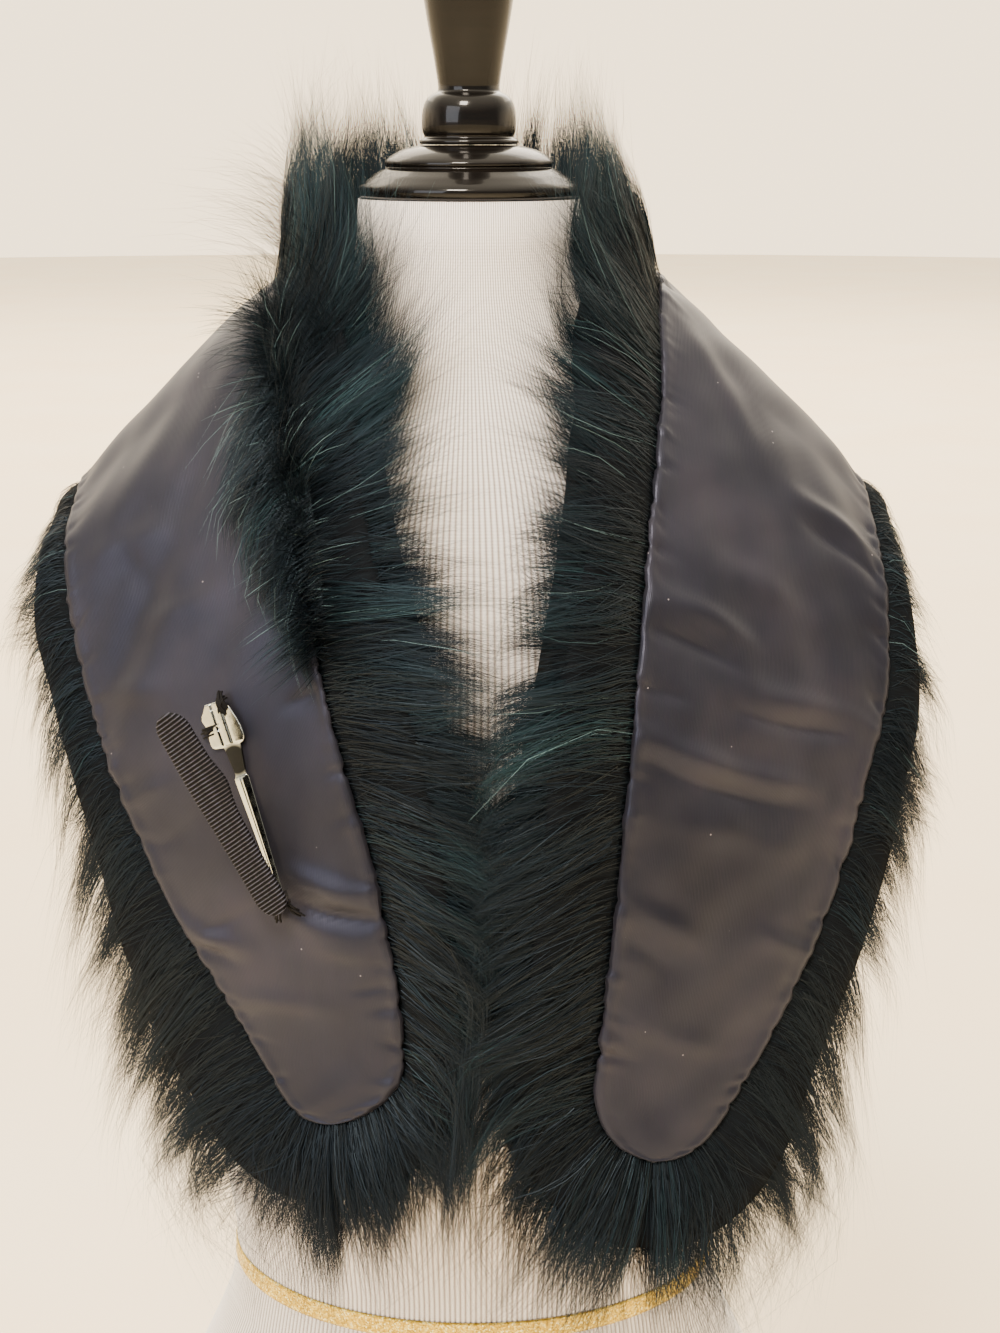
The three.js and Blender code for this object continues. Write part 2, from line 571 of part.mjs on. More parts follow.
// The ribbon-covered arm, a bar with round ends, and the knuckle that turns on the pin
function ribbonArmGeometry() {
  const radius = clip.armWide / 2;
  const shape = new THREE.Shape();
  const from = radius - clip.armTail;
  const to = from + clip.armLong - clip.armWide;
  shape.absarc(to, 0, radius, -Math.PI / 2, Math.PI / 2, false);
  shape.absarc(from, 0, radius, Math.PI / 2, 1.5 * Math.PI, false);
  const bar = plate(shape, clip.armThick, 0.7).translate(0, 0, clip.armRise);
  const knuckle = new THREE.CylinderGeometry(clip.knuckleRadius, clip.knuckleRadius,
    2 * clip.knuckleHalf, 16);
  const web = new THREE.BoxGeometry(2.4, 2 * clip.knuckleHalf, clip.armRise);
  web.translate(0, 0, clip.armRise / 2 + 0.6);
  const bore = new THREE.CylinderGeometry(clip.pinRadius + seamGap, clip.pinRadius + seamGap, 12, 16);
  const solid = solidOf(bareOf(bar)).add(solidOf(bareOf(knuckle))).add(solidOf(bareOf(web)));
  return geometryOf(solid.subtract(solidOf(bareOf(bore))));
}

function addMesh(parent, name, geometry, look) {
  const mesh = new THREE.Mesh(geometry, new THREE.MeshStandardMaterial(look));
  mesh.name = name;
  parent.add(mesh);
  return mesh;
}

const group = new THREE.Group();
const knit = { color: colours.knit, roughness: 0.85, metalness: 0 };
const lacquer = { color: colours.lacquer, roughness: 0.12, metalness: 0 };
const gold = { color: colours.gold, roughness: 0.45, metalness: 0.6 };
const satin = { color: colours.satin, roughness: 0.5, metalness: 0 };
const pelt = { color: colours.fur, roughness: 0.7, metalness: 0 };
const steel = { color: colours.steel, roughness: 0.2, metalness: 1 };
const grosgrain = { color: colours.grosgrain, roughness: 0.7, metalness: 0 };

addMesh(group, 'form_torso', formGeometry(formRows, 0), knit);
addMesh(group, 'waist_ribbon', ribbonGeometry(), gold);
addMesh(group, 'neck_cap', turnedGeometry(capProfile, 36), lacquer);
addMesh(group, 'finial', turnedGeometry(finialProfile, 24), lacquer);

const clearance = clearanceSolid();
for (const side of ['left', 'right']) {
  const front = fronts[side];
  const stations = makeStations(front);
  const fur = solidOf(furGeometry(stations)).subtract(clearance)
    .subtract(partingSolid(front.sign));
  addMesh(group, `fur_${side}`, geometryOf(fur), pelt);
  addMesh(group, `lining_${side}`, liningGeometry(stations, folds[side]), satin);
  if (side === 'left') addClip(stations);
}

function addClip(stations) {
  const frame = clipFrame(stations);
  const holder = new THREE.Group();
  holder.position.copy(frame.origin);
  holder.quaternion.setFromRotationMatrix(frame.turn);
  group.add(holder);
  const metal = addMesh(holder, 'clip_metal_arm', metalArmGeometry(), steel);
  metal.rotation.z = -THREE.MathUtils.degToRad(clip.skew);
  const pin = new THREE.CylinderGeometry(clip.pinRadius, clip.pinRadius, clip.pinLong, 12);
  addMesh(holder, 'clip_pin', pin, steel).position.z = clip.pinHeight;
  const arm = addMesh(holder, 'clip_ribbon_arm', ribbonArmGeometry(), grosgrain);
  arm.position.z = clip.pinHeight;
  arm.rotation.y = -THREE.MathUtils.degToRad(clip.openAngle);
}

export default group;
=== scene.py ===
import math

import bmesh
import bpy
import numpy as np
from mathutils import Matrix, Vector


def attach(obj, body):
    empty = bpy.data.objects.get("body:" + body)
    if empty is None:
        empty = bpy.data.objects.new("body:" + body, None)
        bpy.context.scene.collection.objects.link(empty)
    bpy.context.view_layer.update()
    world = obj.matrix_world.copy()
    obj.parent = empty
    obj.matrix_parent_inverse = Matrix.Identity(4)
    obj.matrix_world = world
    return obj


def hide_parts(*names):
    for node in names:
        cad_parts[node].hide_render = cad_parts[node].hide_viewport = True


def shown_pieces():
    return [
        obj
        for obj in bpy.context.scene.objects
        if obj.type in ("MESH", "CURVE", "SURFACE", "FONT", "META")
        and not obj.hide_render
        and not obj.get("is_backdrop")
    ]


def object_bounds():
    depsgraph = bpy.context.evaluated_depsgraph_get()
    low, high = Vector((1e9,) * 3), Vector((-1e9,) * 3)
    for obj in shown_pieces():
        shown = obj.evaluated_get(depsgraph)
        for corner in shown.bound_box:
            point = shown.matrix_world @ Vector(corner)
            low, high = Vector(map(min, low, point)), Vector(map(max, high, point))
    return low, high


# Fur collar wrap, lining side out, on a limbless dress form.
# Tables and sizes are in millimetres and become metres where a mesh is made.
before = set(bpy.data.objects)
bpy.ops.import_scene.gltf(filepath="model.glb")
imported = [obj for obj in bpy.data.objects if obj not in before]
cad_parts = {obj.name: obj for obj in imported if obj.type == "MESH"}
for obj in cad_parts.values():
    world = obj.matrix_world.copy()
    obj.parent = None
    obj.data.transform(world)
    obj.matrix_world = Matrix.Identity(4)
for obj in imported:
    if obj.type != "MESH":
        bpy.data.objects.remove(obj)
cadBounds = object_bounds()
scene = bpy.context.scene
mm = 0.001
mainBody = "wrap_on_form"
armBody = "clip_arm"

# Camera: 2000 px focal length in a picture 1333 px high
camera = bpy.data.objects.new("camera", bpy.data.cameras.new("camera"))
scene.collection.objects.link(camera)
camera.data.lens = 54
camera.data.sensor_width = 36
camera.location = (0.0135, -0.902, 0.774)
camera.rotation_euler = (math.radians(90 - 15.1), 0, 0)
scene.camera = camera
print("camera set")


def smoothAt(places, values, wanted):
    # cubic curve through one column of a table
    places = np.asarray(places, float)
    values = np.asarray(values, float)
    steps = np.diff(values) / np.diff(places)
    slopes = np.concatenate([steps[:1], (steps[:-1] + steps[1:]) / 2, steps[-1:]])
    wanted = np.clip(wanted, places[0], places[-1])
    i = np.clip(np.searchsorted(places, wanted, side="right") - 1, 0, len(places) - 2)
    gap = places[i + 1] - places[i]
    f = (wanted - places[i]) / gap
    return ((2 * f**3 - 3 * f**2 + 1) * values[i] + (f**3 - 2 * f**2 + f) * gap * slopes[i]
            + (3 * f**2 - 2 * f**3) * values[i + 1] + (f**3 - f**2) * gap * slopes[i + 1])


def unit(vectors):
    return vectors / np.maximum(np.linalg.norm(vectors, axis=-1, keepdims=True), 1e-9)


def between(low, high, value):
    # 0 below low, 1 above high, smooth in between
    f = np.clip((value - low) / (high - low), 0, 1)
    return f * f * (3 - 2 * f)


# Dress form: height, half width, depth to the front, depth to the back
formRows = [
    (0, 168, 112, 122), (60, 170, 112, 125), (120, 160, 106, 120), (176, 137, 97, 104),
    (205, 124, 91, 95), (235, 118, 87.5, 88), (270, 121, 91, 86), (320, 129, 101, 88),
    (380, 137, 113, 93), (440, 142, 121, 98), (490, 143, 120, 100), (540, 142, 109, 98),
    (590, 134, 92, 90), (620, 118, 80, 80), (650, 92, 67, 68), (675, 70, 57.5, 58),
    (700, 56, 51.5, 51.5), (720, 50.5, 49.4, 49.4), (743.8, 48.5, 48.5, 48.5),
]
# What fur keeps clear of: the form, then the cap's lip, then the finial
clearRows = formRows[:-1] + [
    (736, 49.2, 49.2, 49.2), (742, 50.4, 50.4, 50.4), (772, 50.4, 50.4, 50.4),
    (782, 26, 26, 26), (872, 25, 25, 25), (900, 20, 20, 20),
]


def sizeAt(rows, z):
    heights = [row[0] for row in rows]
    return [smoothAt(heights, [row[k] for row in rows], z) for k in (1, 2, 3)]


def clearOfForm(points, gap):
    # points nearer to the form than gap move straight out from its axis
    side, front, back = sizeAt(clearRows, points[..., 2])
    deep = np.where(points[..., 1] < 0, front, back)
    share = np.hypot(points[..., 0] / (side + gap), points[..., 1] / (deep + gap))
    grow = np.where(share < 1, 1 / np.maximum(share, 0.05), 1)
    moved = points.copy()
    moved[..., 0] *= grow
    moved[..., 1] *= grow
    return moved


# The wrap, half from the centre back to its last full section. Columns: neck edge x y z, outer
# edge x y z, crown, then the fur's length, its rise at the root and its lean by the tip at the
# neck edge, its length and lean at the outer edge, how far it falls back over the lining, the
# pile's depth, and how far the hair of both edges sweeps down the wrap by its tips.
wrapColumns = ("ix", "iy", "iz", "ox", "oy", "oz", "crown", "inFur", "inRise", "inLift", "outFur",
               "outLift", "flop", "pile", "inSweep", "outSweep")
backRows = [
    (0, 86, 714, 0, 124, 598, 5, 60, 4, 8, 46, -16, 0, 46, 0, 0),
    (35, 79, 714, 60, 119, 596, 5, 61, 4, 8, 46, -18, 0, 46, 0, 6),
    (62, 60, 713, 115, 96, 598, 5, 59, 5, 4, 42, -22, 0, 46, 0, 10),
    (79, 31, 711, 154, 50, 610, 4, 62, 14, 2, 34, -30, 0, 44, 0, 12),
]
rightRows = [
    (83, 0, 708, 174, -2, 621, 3, 66, 24, 0, 26, -34, 0, 42, -6, 12),
    (81.5, -30, 690, 178, -30, 607, 3, 62, 10, 0, 20, -24, 0, 40, -16, 12),
    (81, -54, 665, 180, -56, 585, 3, 58, 3, 0, 20, -12, 0, 40, -12, 12),
    (77, -80, 637, 180.5, -71, 556, 3, 53, 1, 0, 25, -6, 0, 40, -7, 16),
    (72.5, -104, 606, 178, -80, 532, 3, 51, 0, -4, 31, -4, 0, 40, 4, 20),
    (68, -128, 562, 170, -91, 509, 3, 58, 0, -9, 35, -4, 0, 40, 15, 24),
    (64, -140, 520, 160.5, -101, 473, 3, 63, 0, -12, 38, -4, 0, 44, 27, 26),
    (60, -146, 474, 147, -113, 440, 3, 62, 0, -12, 42, -4, 0, 48, 35, 28),
    (55, -149, 424, 129, -124, 404, 2.5, 60, 0, -10, 47, -4, 0, 54, 36, 26),
    (52, -149.5, 396, 114, -133, 380, 2, 62, 0, -8, 58, -4, 0, 56, 24, 20),
]
leftRows = [
    (83, 0, 708, 173, -2, 620, 3, 67, 32, 2, 26, -34, 4, 44, -8, 12),
    (80, -30, 690, 175, -30, 611, 3, 66, 16, 0, 20, -24, 16, 42, -20, 12),
    (77, -54, 665, 175, -52, 597, 3, 62, 8, 0, 22, -12, 24, 40, -17, 12),
    (72, -80, 637, 171, -65, 570, 3, 59, 5, 0, 33, -6, 32, 40, -10, 16),
    (66, -104, 606, 164.5, -76, 544, 3, 58, 2, -4, 31, -4, 24, 40, 5, 20),
    (57.5, -129, 562, 153.5, -89, 512, 3, 64, 0, -9, 35, -4, 4, 40, 14, 24),
    (47, -140, 523, 139, -100, 480, 3, 62, 0, -12, 44, -4, 0, 44, 26, 26),
    (36.5, -145.5, 485, 123, -110, 449, 3, 54, 0, -12, 59, -4, 0, 48, 34, 28),
    (28, -148.5, 440, 104, -119, 419, 2.5, 48, 0, -10, 71, -4, 0, 52, 34, 26),
    (25, -149, 408, 87, -128, 393, 2, 48, 0, -8, 72, -4, 0, 54, 22, 20),
]
fronts = {
    "right": {"sign": 1, "rows": backRows + rightRows, "tip": (77, -149, 357), "tipFur": 66},
    "left": {"sign": -1, "rows": backRows + leftRows, "tip": (56, -143.5, 371), "tipFur": 56},
}
seamGap = 0.3
liningThick = 1.8
furSwell = {"inner": 7, "outer": 4}
parting = {"high": (12.3, 536), "low": (-5.1, 394), "give": 5, "hold": 0.92, "front": -95,
           "top": 640}
stationCount = 300
tipStations = 40


def makeWrap(front):
    # stations along one half: both edges, the outward normal and the table's columns
    rows, sign = front["rows"], front["sign"]
    table = dict(zip(wrapColumns, np.array(rows, float).T))
    rowAt = np.arange(len(rows))
    full = stationCount - tipStations
    place = np.concatenate([np.linspace(0, len(rows) - 1, full + 1),
                            np.full(tipStations, len(rows) - 1.0)])
    edges = []
    for keys in (("ix", "iy", "iz"), ("ox", "oy", "oz")):
        points = np.stack([smoothAt(rowAt, table[key], place) for key in keys], 1)
        points[:, 0] = sign * (points[:, 0] + seamGap / 2)
        edges.append(points)
    inner, outer = edges
    middle, half = (inner[full] + outer[full]) / 2, (outer[full] - inner[full]) / 2
    tip = np.array(front["tip"], float) * (sign, 1, 1)
    tall = np.linalg.norm(tip - middle)
    # the tip is a curve on either side that runs on from its edge
    t = np.linspace(0, 1, tipStations + 1)[1:, None] ** 0.8
    for edge, side in ((inner, -half), (outer, half)):
        leave = edge[full] + unit(edge[full] - edge[full - 2]) * tall * 0.55
        arrive = tip + side * 0.6
        edge[full + 1:] = ((1 - t) ** 3 * edge[full] + 3 * (1 - t) ** 2 * t * leave
                           + 3 * (1 - t) * t**2 * arrive + t**3 * tip)
    narrow = np.ones(stationCount + 1)
    narrow[full + 1:] = (np.linalg.norm(outer[full + 1:] - inner[full + 1:], axis=1)
                         / np.linalg.norm(2 * half))
    narrow[-1] = 0

    def stepsAlong(points):
        before = np.concatenate([points[1:2] * (-1, 1, 1), points[:-1]])
        after = np.concatenate([points[1:], points[-1:]])
        return after - before

    across = np.where(narrow[:, None] > 0.05, outer - inner, half)
    along = stepsAlong(inner + outer)
    wrap = {"sign": sign, "place": place, "inner": inner, "outer": outer, "narrow": narrow,
            "width": np.linalg.norm(outer - inner, axis=1),
            "normal": unit(np.cross(along, unit(across))) * sign}
    for edge, outward in (("inner", -1), ("outer", 1)):
        away = unit(np.cross(unit(stepsAlong(wrap[edge])), wrap["normal"]))
        facing = np.sign((away * across).sum(1)) * outward
        wrap[edge + "Side"] = away * np.where(facing == 0, 1, facing)[:, None]
        wrap[edge + "Side"][-1] = unit(tip - middle)
        step = np.linalg.norm(np.diff(wrap[edge], axis=0), axis=1)
        wrap[edge + "Run"] = np.concatenate([[0], np.cumsum(step)])
    for key in wrapColumns[6:]:
        wrap[key] = smoothAt(rowAt, table[key], place)
    wrap["crown"] = wrap["crown"] * narrow
    near = np.clip(np.arange(stationCount + 1) - full, 0, None) / tipStations
    for key in ("inFur", "outFur"):
        wrap[key] += (front["tipFur"] - wrap[key]) * near
    for key in ("inRise", "inLift", "outLift", "inSweep", "outSweep"):
        wrap[key] *= 1 - near
    return wrap


def stationOfRow(wrap, row):
    full = stationCount - tipStations + 1
    return np.interp(row, wrap["place"][:full], np.arange(full))


def atStation(values, station):
    # a column or a list of points at stations between whole numbers
    station = np.clip(station, 0, stationCount)
    i = np.minimum(np.floor(station).astype(int), stationCount - 1)
    f = station - i
    if values.ndim > 1:
        f = f[..., None]
    return values[i] * (1 - f) + values[i + 1] * f


def surfaceAt(wrap, station, across, out):
    # across is 0 at the neck edge and 1 at the outer one; out is the height along the normal
    arch = atStation(wrap["crown"], station) * (1 - (2 * across - 1) ** 2)
    flat = (atStation(wrap["inner"], station) * (1 - across)[..., None]
            + atStation(wrap["outer"], station) * across[..., None])
    return flat + atStation(wrap["normal"], station) * (arch + out)[..., None]


def furAt(wrap, edge, station, reach, height, extraLean=0):
    # reach is 0 at the lining's edge and 1 at the end of the dense fur
    short = {"inner": "in", "outer": "out"}[edge]
    long = atStation(wrap[short + "Fur"], station) * reach
    lean = atStation(wrap[short + "Lift"], station) * np.maximum(reach, 0) ** 2 + extraLean
    if edge == "inner":
        lean = lean + atStation(wrap["inRise"], station) * between(-0.05, 0.12, reach)
    lean = np.radians(lean)
    side = atStation(wrap[edge + "Side"], station)
    normal = atStation(wrap["normal"], station)
    return (atStation(wrap[edge], station) + side * (long * np.cos(lean))[..., None]
            + normal * (height + long * np.sin(lean))[..., None])


def pileHeight(wrap, edge, station, reach, layer):
    # height inside the pile: layer 1 is its top, -1 its side towards the form
    swell = furSwell["inner"]
    if edge == "outer":
        swell = swell + (furSwell["outer"] - swell) * atStation(wrap["narrow"], station)
    deep = -atStation(wrap["pile"], station)
    top = np.interp(reach, [-0.05, 0.1, 0.42, 0.78, 1.0, 1.4], [-0.2, 0.45, 1, 0.8, 0.1, 0])
    low = np.interp(reach, [0, 0.12, 0.42, 0.8, 1.0, 1.4], [1, 0.97, 0.82, 0.5, 0.06, 0])
    top = np.where(reach < 0, -1.2, top * swell)
    return low * deep + (layer + 1) / 2 * (top - low * deep)


wraps = {side: makeWrap(front) for side, front in fronts.items()}
print("wrap tables worked out")


def setPiece(name, mesh, material, body=mainBody, replaces=(), smooth=True):
    mesh.materials.clear()
    mesh.materials.append(material)
    mesh.polygons.foreach_set("use_smooth", np.full(len(mesh.polygons), smooth))
    piece = bpy.data.objects.new(name, mesh)
    scene.collection.objects.link(piece)
    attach(piece, body)
    if replaces:
        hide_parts(*replaces)
    return piece


def meshFrom(name, bm):
    mesh = bpy.data.meshes.new(name)
    bm.to_mesh(mesh)
    bm.free()
    return mesh


def spun(profile, steps):
    # a profile of (radius, height) turned round Z; both ends stand on the axis
    bm = bmesh.new()
    verts = [bm.verts.new((radius, 0, height)) for radius, height in profile]
    edges = [bm.edges.new(pair) for pair in zip(verts, verts[1:])]
    bmesh.ops.spin(bm, geom=verts + edges, cent=(0, 0, 0), axis=(0, 0, 1),
                   angle=2 * math.pi, steps=steps, use_merge=True)
    bmesh.ops.remove_doubles(bm, verts=bm.verts, dist=1e-6)
    bmesh.ops.recalc_face_normals(bm, faces=bm.faces)
    return bm


def shapedGrid(xSegments, ySegments, place, uvPlace=None, uvName="cloth", merge=1e-6):
    # a grid whose vertices go where place(u, v) says, in mm; u and v run from 0 to 1
    bm = bmesh.new()
    bmesh.ops.create_grid(bm, x_segments=xSegments, y_segments=ySegments, size=1)
    bm.verts.ensure_lookup_table()
    flat = np.array([vert.co for vert in bm.verts]) / 2 + 0.5
    u, v = flat[:, 0], flat[:, 1]
    if uvPlace:
        uvs = np.stack(uvPlace(u, v), 1)
        layer = bm.loops.layers.uv.new(uvName)
        for face in bm.faces:
            for loop in face.loops:
                loop[layer].uv = uvs[loop.vert.index]
    for vert, point in zip(bm.verts, place(u, v) * mm):
        vert.co = point
    bmesh.ops.remove_doubles(bm, verts=bm.verts, dist=merge)
    bmesh.ops.dissolve_degenerate(bm, edges=bm.edges, dist=merge)
    bmesh.ops.recalc_face_normals(bm, faces=bm.faces)
    return bm


def threads(name, paths, radius, material, place):
    # round threads along paths of points, made one mesh
    curve = bpy.data.curves.new(name, "CURVE")
    curve.dimensions = "3D"
    curve.bevel_depth = radius * mm
    curve.bevel_resolution = 2
    curve.use_fill_caps = True
    for path in paths:
        spline = curve.splines.new("NURBS")
        spline.points.add(len(path) - 1)
        spline.order_u = 3
        spline.use_endpoint_u = True
        spline.resolution_u = 5
        for point, at in zip(spline.points, path):
            point.co = (*(place @ (Vector(at) * mm)), 1)
    holder = bpy.data.objects.new(name + "_path", curve)
    mesh = bpy.data.meshes.new_from_object(holder)
    mesh.name = name
    bpy.data.objects.remove(holder)
    return setPiece(name, mesh, material)


def srgb(code):
    parts = [int(code[i:i + 2], 16) / 255 for i in (1, 3, 5)]
    return [c / 12.92 if c <= 0.04045 else ((c + 0.055) / 1.055) ** 2.4 for c in parts] + [1.0]


def addNode(tree, kind, values=None, **settings):
    # a node with its settings; values holds numbers, colours or the sockets to link from
    node = tree.nodes.new("ShaderNode" + kind)
    for name, value in settings.items():
        setattr(node, name, value)
    for name, value in (values or {}).items():
        if isinstance(value, bpy.types.NodeSocket):
            tree.links.new(value, node.inputs[name])
        else:
            node.inputs[name].default_value = value
    return node


def rampOf(tree, value, stops):
    node = addNode(tree, "ValToRGB", {0: value})
    ramp = node.color_ramp
    while len(ramp.elements) < len(stops):
        ramp.elements.new(1)
    for element, (position, code) in zip(ramp.elements, stops):
        element.position = position
        element.color = srgb(code) if isinstance(code, str) else (code, code, code, 1)
    return node.outputs["Color"]


def startMaterial(name):
    material = bpy.data.materials.new(name)
    material.use_nodes = True
    material.node_tree.nodes.clear()
    return material, material.node_tree


def endMaterial(tree, values):
    shader = addNode(tree, "BsdfPrincipled", values)
    addNode(tree, "OutputMaterial", {"Surface": shader.outputs["BSDF"]})


def bumpOf(tree, height, strength, distance):
    bump = addNode(tree, "Bump", {"Height": height, "Strength": strength, "Distance": distance})
    return bump.outputs[0]


def mixOf(tree, share, below, above, blend="MIX"):
    return addNode(tree, "Mix", {0: share, 6: below, 7: above}, data_type="RGBA",
                   blend_type=blend).outputs[2]


def rangeOf(tree, value, source, target):
    return addNode(tree, "MapRange", {0: value, 1: source[0], 2: source[1], 3: target[0],
                                      4: target[1]}).outputs[0]


def objectPlace(tree):
    return addNode(tree, "TexCoord").outputs["Object"]


def waveScale(period):
    # the Wave texture's scale for bands that repeat after period
    return math.pi / 10 / period


def dyedFurMaterial(name, deep):
    # Dyed long-haired fur: glossy round teal hairs, with painted shade that darkens each hair from its
    # tip to nearly black at the skin
    material, tree = startMaterial(name)
    strand = addNode(tree, "UVMap", uv_map="strand")
    axes = addNode(tree, "SeparateXYZ", {0: strand.outputs["UV"]})
    tone = rampOf(tree, axes.outputs["X"], [
        (0.0, "#07090d"), (0.28, "#0e1217"), (0.45, "#121a20"), (0.62, "#17282e"),
        (0.86, "#2c464a"), (1.0, "#7b9698")])
    # painted shade of the dense pile: each hair darkens towards its root
    paintedRootShade = rampOf(tree, axes.outputs["Y"], [
        (0.0, deep), (0.45, 0.62), (0.8, 0.95), (1.0, 1.0)])
    colour = mixOf(tree, 1.0, tone, paintedRootShade, "MULTIPLY")
    endMaterial(tree, {"Base Color": colour, "Roughness": 0.5, "IOR": 1.55,
                       "Specular IOR Level": 0.3, "Specular Tint": srgb("#aec6dc")})
    return material


def underfurMaterial():
    # Dense short underfur between the long hairs: matt, almost black, with fine streaks
    material, tree = startMaterial("matt dyed underfur")
    strand = addNode(tree, "UVMap", uv_map="strand")
    stretched = addNode(tree, "Mapping", {"Vector": strand.outputs["UV"], "Scale": (700, 14, 1)})
    streaks = addNode(tree, "TexNoise", {"Vector": stretched.outputs[0], "Scale": 1.0,
                                         "Detail": 3.0, "Roughness": 0.6})
    colour = rampOf(tree, streaks.outputs["Fac"], [
        (0.35, "#04060a"), (0.6, "#080d12"), (0.8, "#0d171d")])
    bump = bumpOf(tree, streaks.outputs["Fac"], 0.6, 0.001)
    endMaterial(tree, {"Base Color": colour, "Roughness": 0.85, "Normal": bump,
                       "Specular IOR Level": 0.1})
    return material


def satinMaterial():
    # Charcoal acetate satin: warm grey, smooth floats that give a soft broad sheen
    material, tree = startMaterial("charcoal acetate satin")
    cloth = addNode(tree, "UVMap", uv_map="cloth")
    place = objectPlace(tree)
    # cloudy tone: partly the cloth's own mottling and partly painted sheen; the same clouds set the
    # roughness
    clouds = addNode(tree, "TexNoise", {"Vector": place, "Scale": 16.0,
                                        "Detail": 3.0, "Roughness": 0.55})
    colour = rampOf(tree, clouds.outputs["Fac"], [
        (0.3, "#141419"), (0.5, "#1b1b21"), (0.7, "#26242a")])
    # a few stray pale flecks, each about 0.4 mm
    flecks = addNode(tree, "TexVoronoi", {"Vector": place, "Scale": 120.0})
    fleck = rangeOf(tree, flecks.outputs["Distance"], (0.03, 0.055), (1.0, 0.0))
    pick = addNode(tree, "SeparateXYZ", {0: flecks.outputs["Color"]})
    rare = rangeOf(tree, pick.outputs["X"], (0.7, 0.72), (0, 1))
    fleckAt = addNode(tree, "Math", {0: fleck, 1: rare},
                      operation="MULTIPLY")
    # floats of about 0.35 mm are too fine to show, so they are drawn 0.7 mm apart
    floats = addNode(tree, "TexWave", {"Vector": cloth.outputs["UV"], "Scale": waveScale(0.0007),
                                       "Distortion": 1.2, "Detail": 2.0, "Detail Scale": 0.6},
                     bands_direction="X")
    slubMap = addNode(tree, "Mapping", {"Vector": cloth.outputs["UV"], "Scale": (1400, 90, 1)})
    slubs = addNode(tree, "TexNoise", {"Vector": slubMap.outputs[0], "Scale": 1.0, "Detail": 2.0})
    shaded = mixOf(tree, 0.1, colour, slubs.outputs["Color"], "OVERLAY")
    flecked = mixOf(tree, fleckAt.outputs[0], shaded, srgb("#7d777c"))
    weave = addNode(tree, "Math", {0: floats.outputs["Fac"], 1: slubs.outputs["Fac"]},
                    operation="ADD")
    bump = bumpOf(tree, weave.outputs[0], 0.16, 0.0003)
    rough = rangeOf(tree, clouds.outputs["Fac"], (0.3, 0.7), (0.36, 0.46))
    endMaterial(tree, {"Base Color": flecked, "Roughness": rough,
                       "Normal": bump, "Specular IOR Level": 0.4,
                       "Specular Tint": srgb("#bfc4e4"), "Sheen Weight": 0.08, "Sheen Roughness": 0.4,
                       "Sheen Tint": srgb("#a4a4b4")})
    return material


def jerseyMaterial():
    # Ribbed cotton jersey: off-white, matt, each rib rounded by rows of small stitches
    material, tree = startMaterial("off-white ribbed cotton jersey")
    knit = addNode(tree, "UVMap", uv_map="knit")
    ribs = addNode(tree, "TexWave", {"Vector": knit.outputs["UV"], "Scale": waveScale(1)},
                   bands_direction="X")
    # stitches of about 0.8 mm are drawn 1.3 mm high
    rows = addNode(tree, "TexWave", {"Vector": knit.outputs["UV"], "Scale": waveScale(1),
                                     "Distortion": 0.6}, bands_direction="Y")
    # painted shade between the ribs and painted highlight on their crowns
    colour = rampOf(tree, ribs.outputs["Fac"], [
        (0.0, "#a69a8f"), (0.3, "#d9cfc6"), (0.6, "#f0e9e3"), (1.0, "#f9f5f1")])
    place = objectPlace(tree)
    fuzz = addNode(tree, "TexNoise", {"Vector": place, "Scale": 900.0})
    fuzzedRibShade = mixOf(tree, 0.12, colour, fuzz.outputs["Color"], "SOFT_LIGHT")
    bump = bumpOf(tree, rows.outputs["Fac"], 0.25, 0.0004)
    endMaterial(tree, {"Base Color": fuzzedRibShade, "Roughness": 0.88, "Normal": bump,
                       "Sheen Weight": 0.2})
    return material


def glitterMaterial():
    # Gold glitter ribbon: a metallic weave whose flat yarns catch the light one by one
    material, tree = startMaterial("gold glitter ribbon")
    place = objectPlace(tree)
    # flakes of about 0.3 mm are drawn 0.8 mm wide
    flakes = addNode(tree, "TexVoronoi", {"Vector": place, "Scale": 1250.0})
    pick = addNode(tree, "SeparateXYZ", {0: flakes.outputs["Color"]})
    colour = rampOf(tree, pick.outputs["X"], [
        (0.0, "#a98a1e"), (0.4, "#d3b037"), (0.8, "#ecd25f"), (1.0, "#fff8b8")])
    rough = rangeOf(tree, pick.outputs["Y"], (0, 1), (0.22, 0.6))
    bump = bumpOf(tree, pick.outputs["Z"], 0.7, 0.0005)
    endMaterial(tree, {"Base Color": colour, "Metallic": 0.7, "Roughness": rough,
                       "Normal": bump})
    return material


def lacquerMaterial():
    # Turned wood under black gloss lacquer: brown-black, a clear hard skin with faint waves
    material, tree = startMaterial("black gloss lacquer on turned wood")
    place = objectPlace(tree)
    rings = addNode(tree, "Mapping", {"Vector": place, "Scale": (40, 40, 700)})
    turned = addNode(tree, "TexNoise", {"Vector": rings.outputs[0], "Scale": 1.0, "Detail": 2.0})
    colour = rampOf(tree, turned.outputs["Fac"], [
        (0.3, "#080706"), (0.7, "#0f0c0a")])
    bump = bumpOf(tree, turned.outputs["Fac"], 0.05, 0.0004)
    endMaterial(tree, {"Base Color": colour, "Roughness": 0.2, "Normal": bump,
                       "Specular IOR Level": 0.1, "Coat Weight": 0.38, "Coat Roughness": 0.03})
    return material


